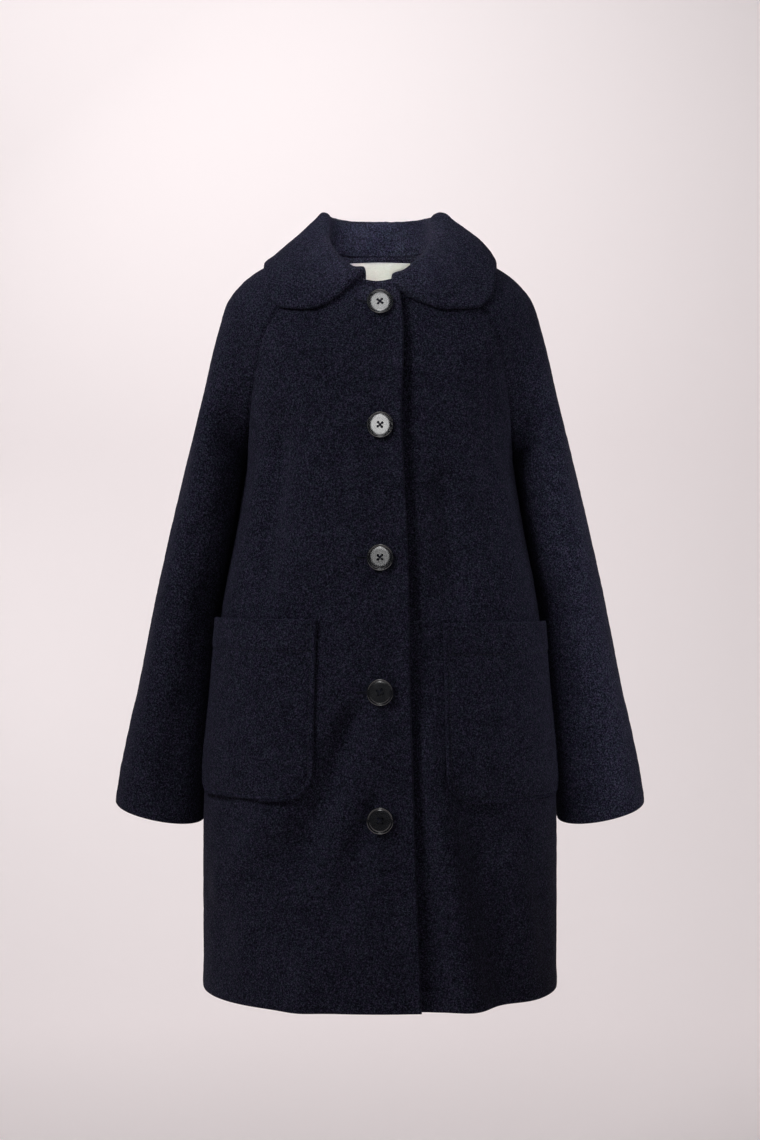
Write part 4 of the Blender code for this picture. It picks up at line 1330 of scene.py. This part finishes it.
def buttonhole(z):
    """A flat loop of close slanting stitches round a slit."""
    t = np.linspace(0.0, 2 * math.pi, 121)
    half = 0.5 * (HOLE_TO - HOLE_FROM)
    s = 0.5 * (HOLE_TO + HOLE_FROM) + half * np.cos(t)
    height = z + HOLE_HALF * np.sign(np.sin(t)) * np.abs(np.sin(t)) ** HOLE_SQUARE
    face = front_right_face
    path, out = trace(face, face[:, HEIGHT_COLUMN, 2], face[..., 0], s, height)
    return stitch_row(path + out * HOLE_RAISE, out, *HOLE_STITCH)


add_piece("buttonholes", *join_rows([buttonhole(z) for z in BUTTON_HEIGHTS]), THREAD, "wool")

# %% [markdown]
# ## The neck label
#
# A bare woven tape is sewn inside the back neck, where the open collar shows it. It follows the
# back's own curve, one wall in.

# %% Label
LABEL_WIDTH, LABEL_TOP, LABEL_FOOT = 78.0, -6.0, -52.0
LABEL_WALL, LABEL_GAP = 0.8, 0.6
LABEL_STITCH, LABEL_COLUMN = (2.2, 3.0, 0.25), 9.0


def label(rows=24, columns=40):
    """The label's seen face: points of the back near its neck, moved in past its wall."""
    z = np.linspace(LABEL_TOP, LABEL_FOOT, rows)
    at = np.interp(-z, -BACK["centre_z"][:2], (0.0, 1.0))
    places = spread(np.full(rows, LABEL_WIDTH), columns) - 0.5 * LABEL_WIDTH
    grid = read_lines(*both_halves(panel_lines(BACK, at, -1.0)), places)
    grid = grid + normals(grid) * (WALL + LABEL_GAP + LABEL_WALL)
    piece, face = shell("neck_label_tape", grid, TAPE, "label", "neck_label", LABEL_WALL)
    declare_cloth(grid)
    i = np.linspace(1.5, rows - 2.5, 40)
    out = normals(face)
    sewn = []
    for j in (LABEL_COLUMN, face.shape[1] - 1 - LABEL_COLUMN):
        column = np.full(40, j)
        sewn.append(stitch_row(grid_at(face, i, column), grid_at(out, i, column), *LABEL_STITCH))
    add_piece("neck_label_stitches", *join_rows(sewn), TAPE, "label")


label()

# %% [markdown]
# ## Floor and light
#
# The coat hangs at wearing height before a pale sweep: a floor that curves up into a wall, so no
# edge shows behind it. The paper glows faintly, which keeps it pale where no lamp reaches. A key
# box stands high on the viewer's left, and small boxes with narrow beams open the wearer's left
# sleeve, the neck and the far side. Cloth this dark hardly shows a weak lamp, but polished
# buttons would, so only a tall card in front may be mirrored. The upper three buttons catch it
# and the lower two look past it.

# %% Floor
FLOOR_Z, SWEEP_START, SWEEP_RADIUS = -1.40, 1.8, 1.4
SWEEP_HALF, SWEEP_TOP, SWEEP_FRONT = 3.6, 4.0, -3.2
PAPER_GLOW, GLOW_TONE = 0.16, (0.95, 0.875, 0.885, 1.0)
PAPER_TONES = ((0.3, (0.860, 0.790, 0.797, 1.0)), (0.7, (0.870, 0.800, 0.807, 1.0)))
DOME_TONE, DOME_STRENGTH = (0.95, 0.93, 0.93, 1.0), 0.015
BEYOND_TONE = (0.62, 0.57, 0.575, 1.0)


def pale_floor():
    """A floor that turns up into a wall along a quarter circle."""
    turn = np.linspace(0.0, math.pi / 2, 40)
    wall = SWEEP_START + SWEEP_RADIUS
    y = np.concatenate(([SWEEP_FRONT], SWEEP_START + SWEEP_RADIUS * np.sin(turn), [wall]))
    z = np.concatenate(([FLOOR_Z], FLOOR_Z + SWEEP_RADIUS * (1 - np.cos(turn)), [SWEEP_TOP]))
    x = np.linspace(-SWEEP_HALF, SWEEP_HALF, 2)
    grid = np.stack((x[None] + 0 * y[:, None], y[:, None] + 0 * x, z[:, None] + 0 * x), axis=-1)
    faces, _ = quads(len(y), 2)
    mesh = bpy.data.meshes.new("pale_floor")
    mesh.from_pydata(grid.reshape(-1, 3).tolist(), [], faces[:, ::-1].tolist())
    mesh.shade_smooth()
    paper = Finish("pale_paper", 0.9)
    paper.paint({
        "Base Color": paper.ramp(paper.noise(900.0, 1.0), PAPER_TONES),
        "Emission Color": GLOW_TONE,
        "Emission Strength": PAPER_GLOW,
    })
    mesh.materials.append(paper.material)
    show("pale_floor", mesh)


pale_floor()

# %% Lights
def soft_box(name, place, aim, width, height, power, beam=180.0, mirrored=False):
    """A rectangular light aimed at a point, with its beam's full angle; mirrored shows in gloss."""
    data = bpy.data.lights.new(name, "AREA")
    data.shape = "RECTANGLE"
    data.size, data.size_y = width, height
    data.energy = power
    data.spread = math.radians(beam)
    light = show(name, data)
    light.location = place
    light.visible_glossy = mirrored
    light.rotation_euler = (Vector(aim) - Vector(place)).to_track_quat("-Z", "Y").to_euler()


soft_box("key_box", (-1.6, -1.25, 1.2), (-0.08, 0.0, -0.12), 0.9, 0.9, 6.6, 82.0)
soft_box("top_box", (0.05, 0.05, 1.9), (0.05, 0.0, -0.05), 0.8, 0.6, 9.0)
soft_box("right_box", (1.5, -0.35, 0.35), (0.24, 0.0, -0.2), 0.4, 0.5, 0.26, 38.0)
soft_box("sleeve_box", (1.0, -1.2, -0.35), (0.32, 0.0, -0.42), 0.25, 0.6, 0.34, 18.0)
soft_box("neck_box", (0.0, -2.4, -0.1), (0.0, 0.05, 0.04), 0.12, 0.12, 0.09, 4.5)
soft_box("button_card", (0.0, -3.2, 1.25), (0.0, 0.0, -0.2), 0.26, 2.6, 1.05, 60.0, True)
soft_box("wall_box", (-0.9, 0.2, 2.8), (-0.35, 3.2, 0.7), 3.0, 0.8, 38.0, 94.0)
soft_box("back_box", (-1.7, 1.9, 1.6), (0.0, 0.0, -0.4), 0.9, 0.9, 22.0)
bpy.context.scene.view_settings.view_transform = "Standard"


def studio_air():
    """A dim dome for the light, and a pale tone where the view passes the floor's edge."""
    world = bpy.data.worlds.new("studio")
    world.use_nodes = True
    nodes, links = world.node_tree.nodes, world.node_tree.links
    dome = nodes["Background"]
    dome.inputs["Color"].default_value = DOME_TONE
    dome.inputs["Strength"].default_value = DOME_STRENGTH
    beyond = nodes.new("ShaderNodeBackground")
    beyond.inputs["Color"].default_value = BEYOND_TONE
    seen = nodes.new("ShaderNodeLightPath")
    mix = nodes.new("ShaderNodeMixShader")
    links.new(seen.outputs["Is Camera Ray"], mix.inputs["Fac"])
    links.new(dome.outputs["Background"], mix.inputs[1])
    links.new(beyond.outputs["Background"], mix.inputs[2])
    links.new(mix.outputs["Shader"], nodes["World Output"].inputs["Surface"])
    return world


bpy.context.scene.world = studio_air()
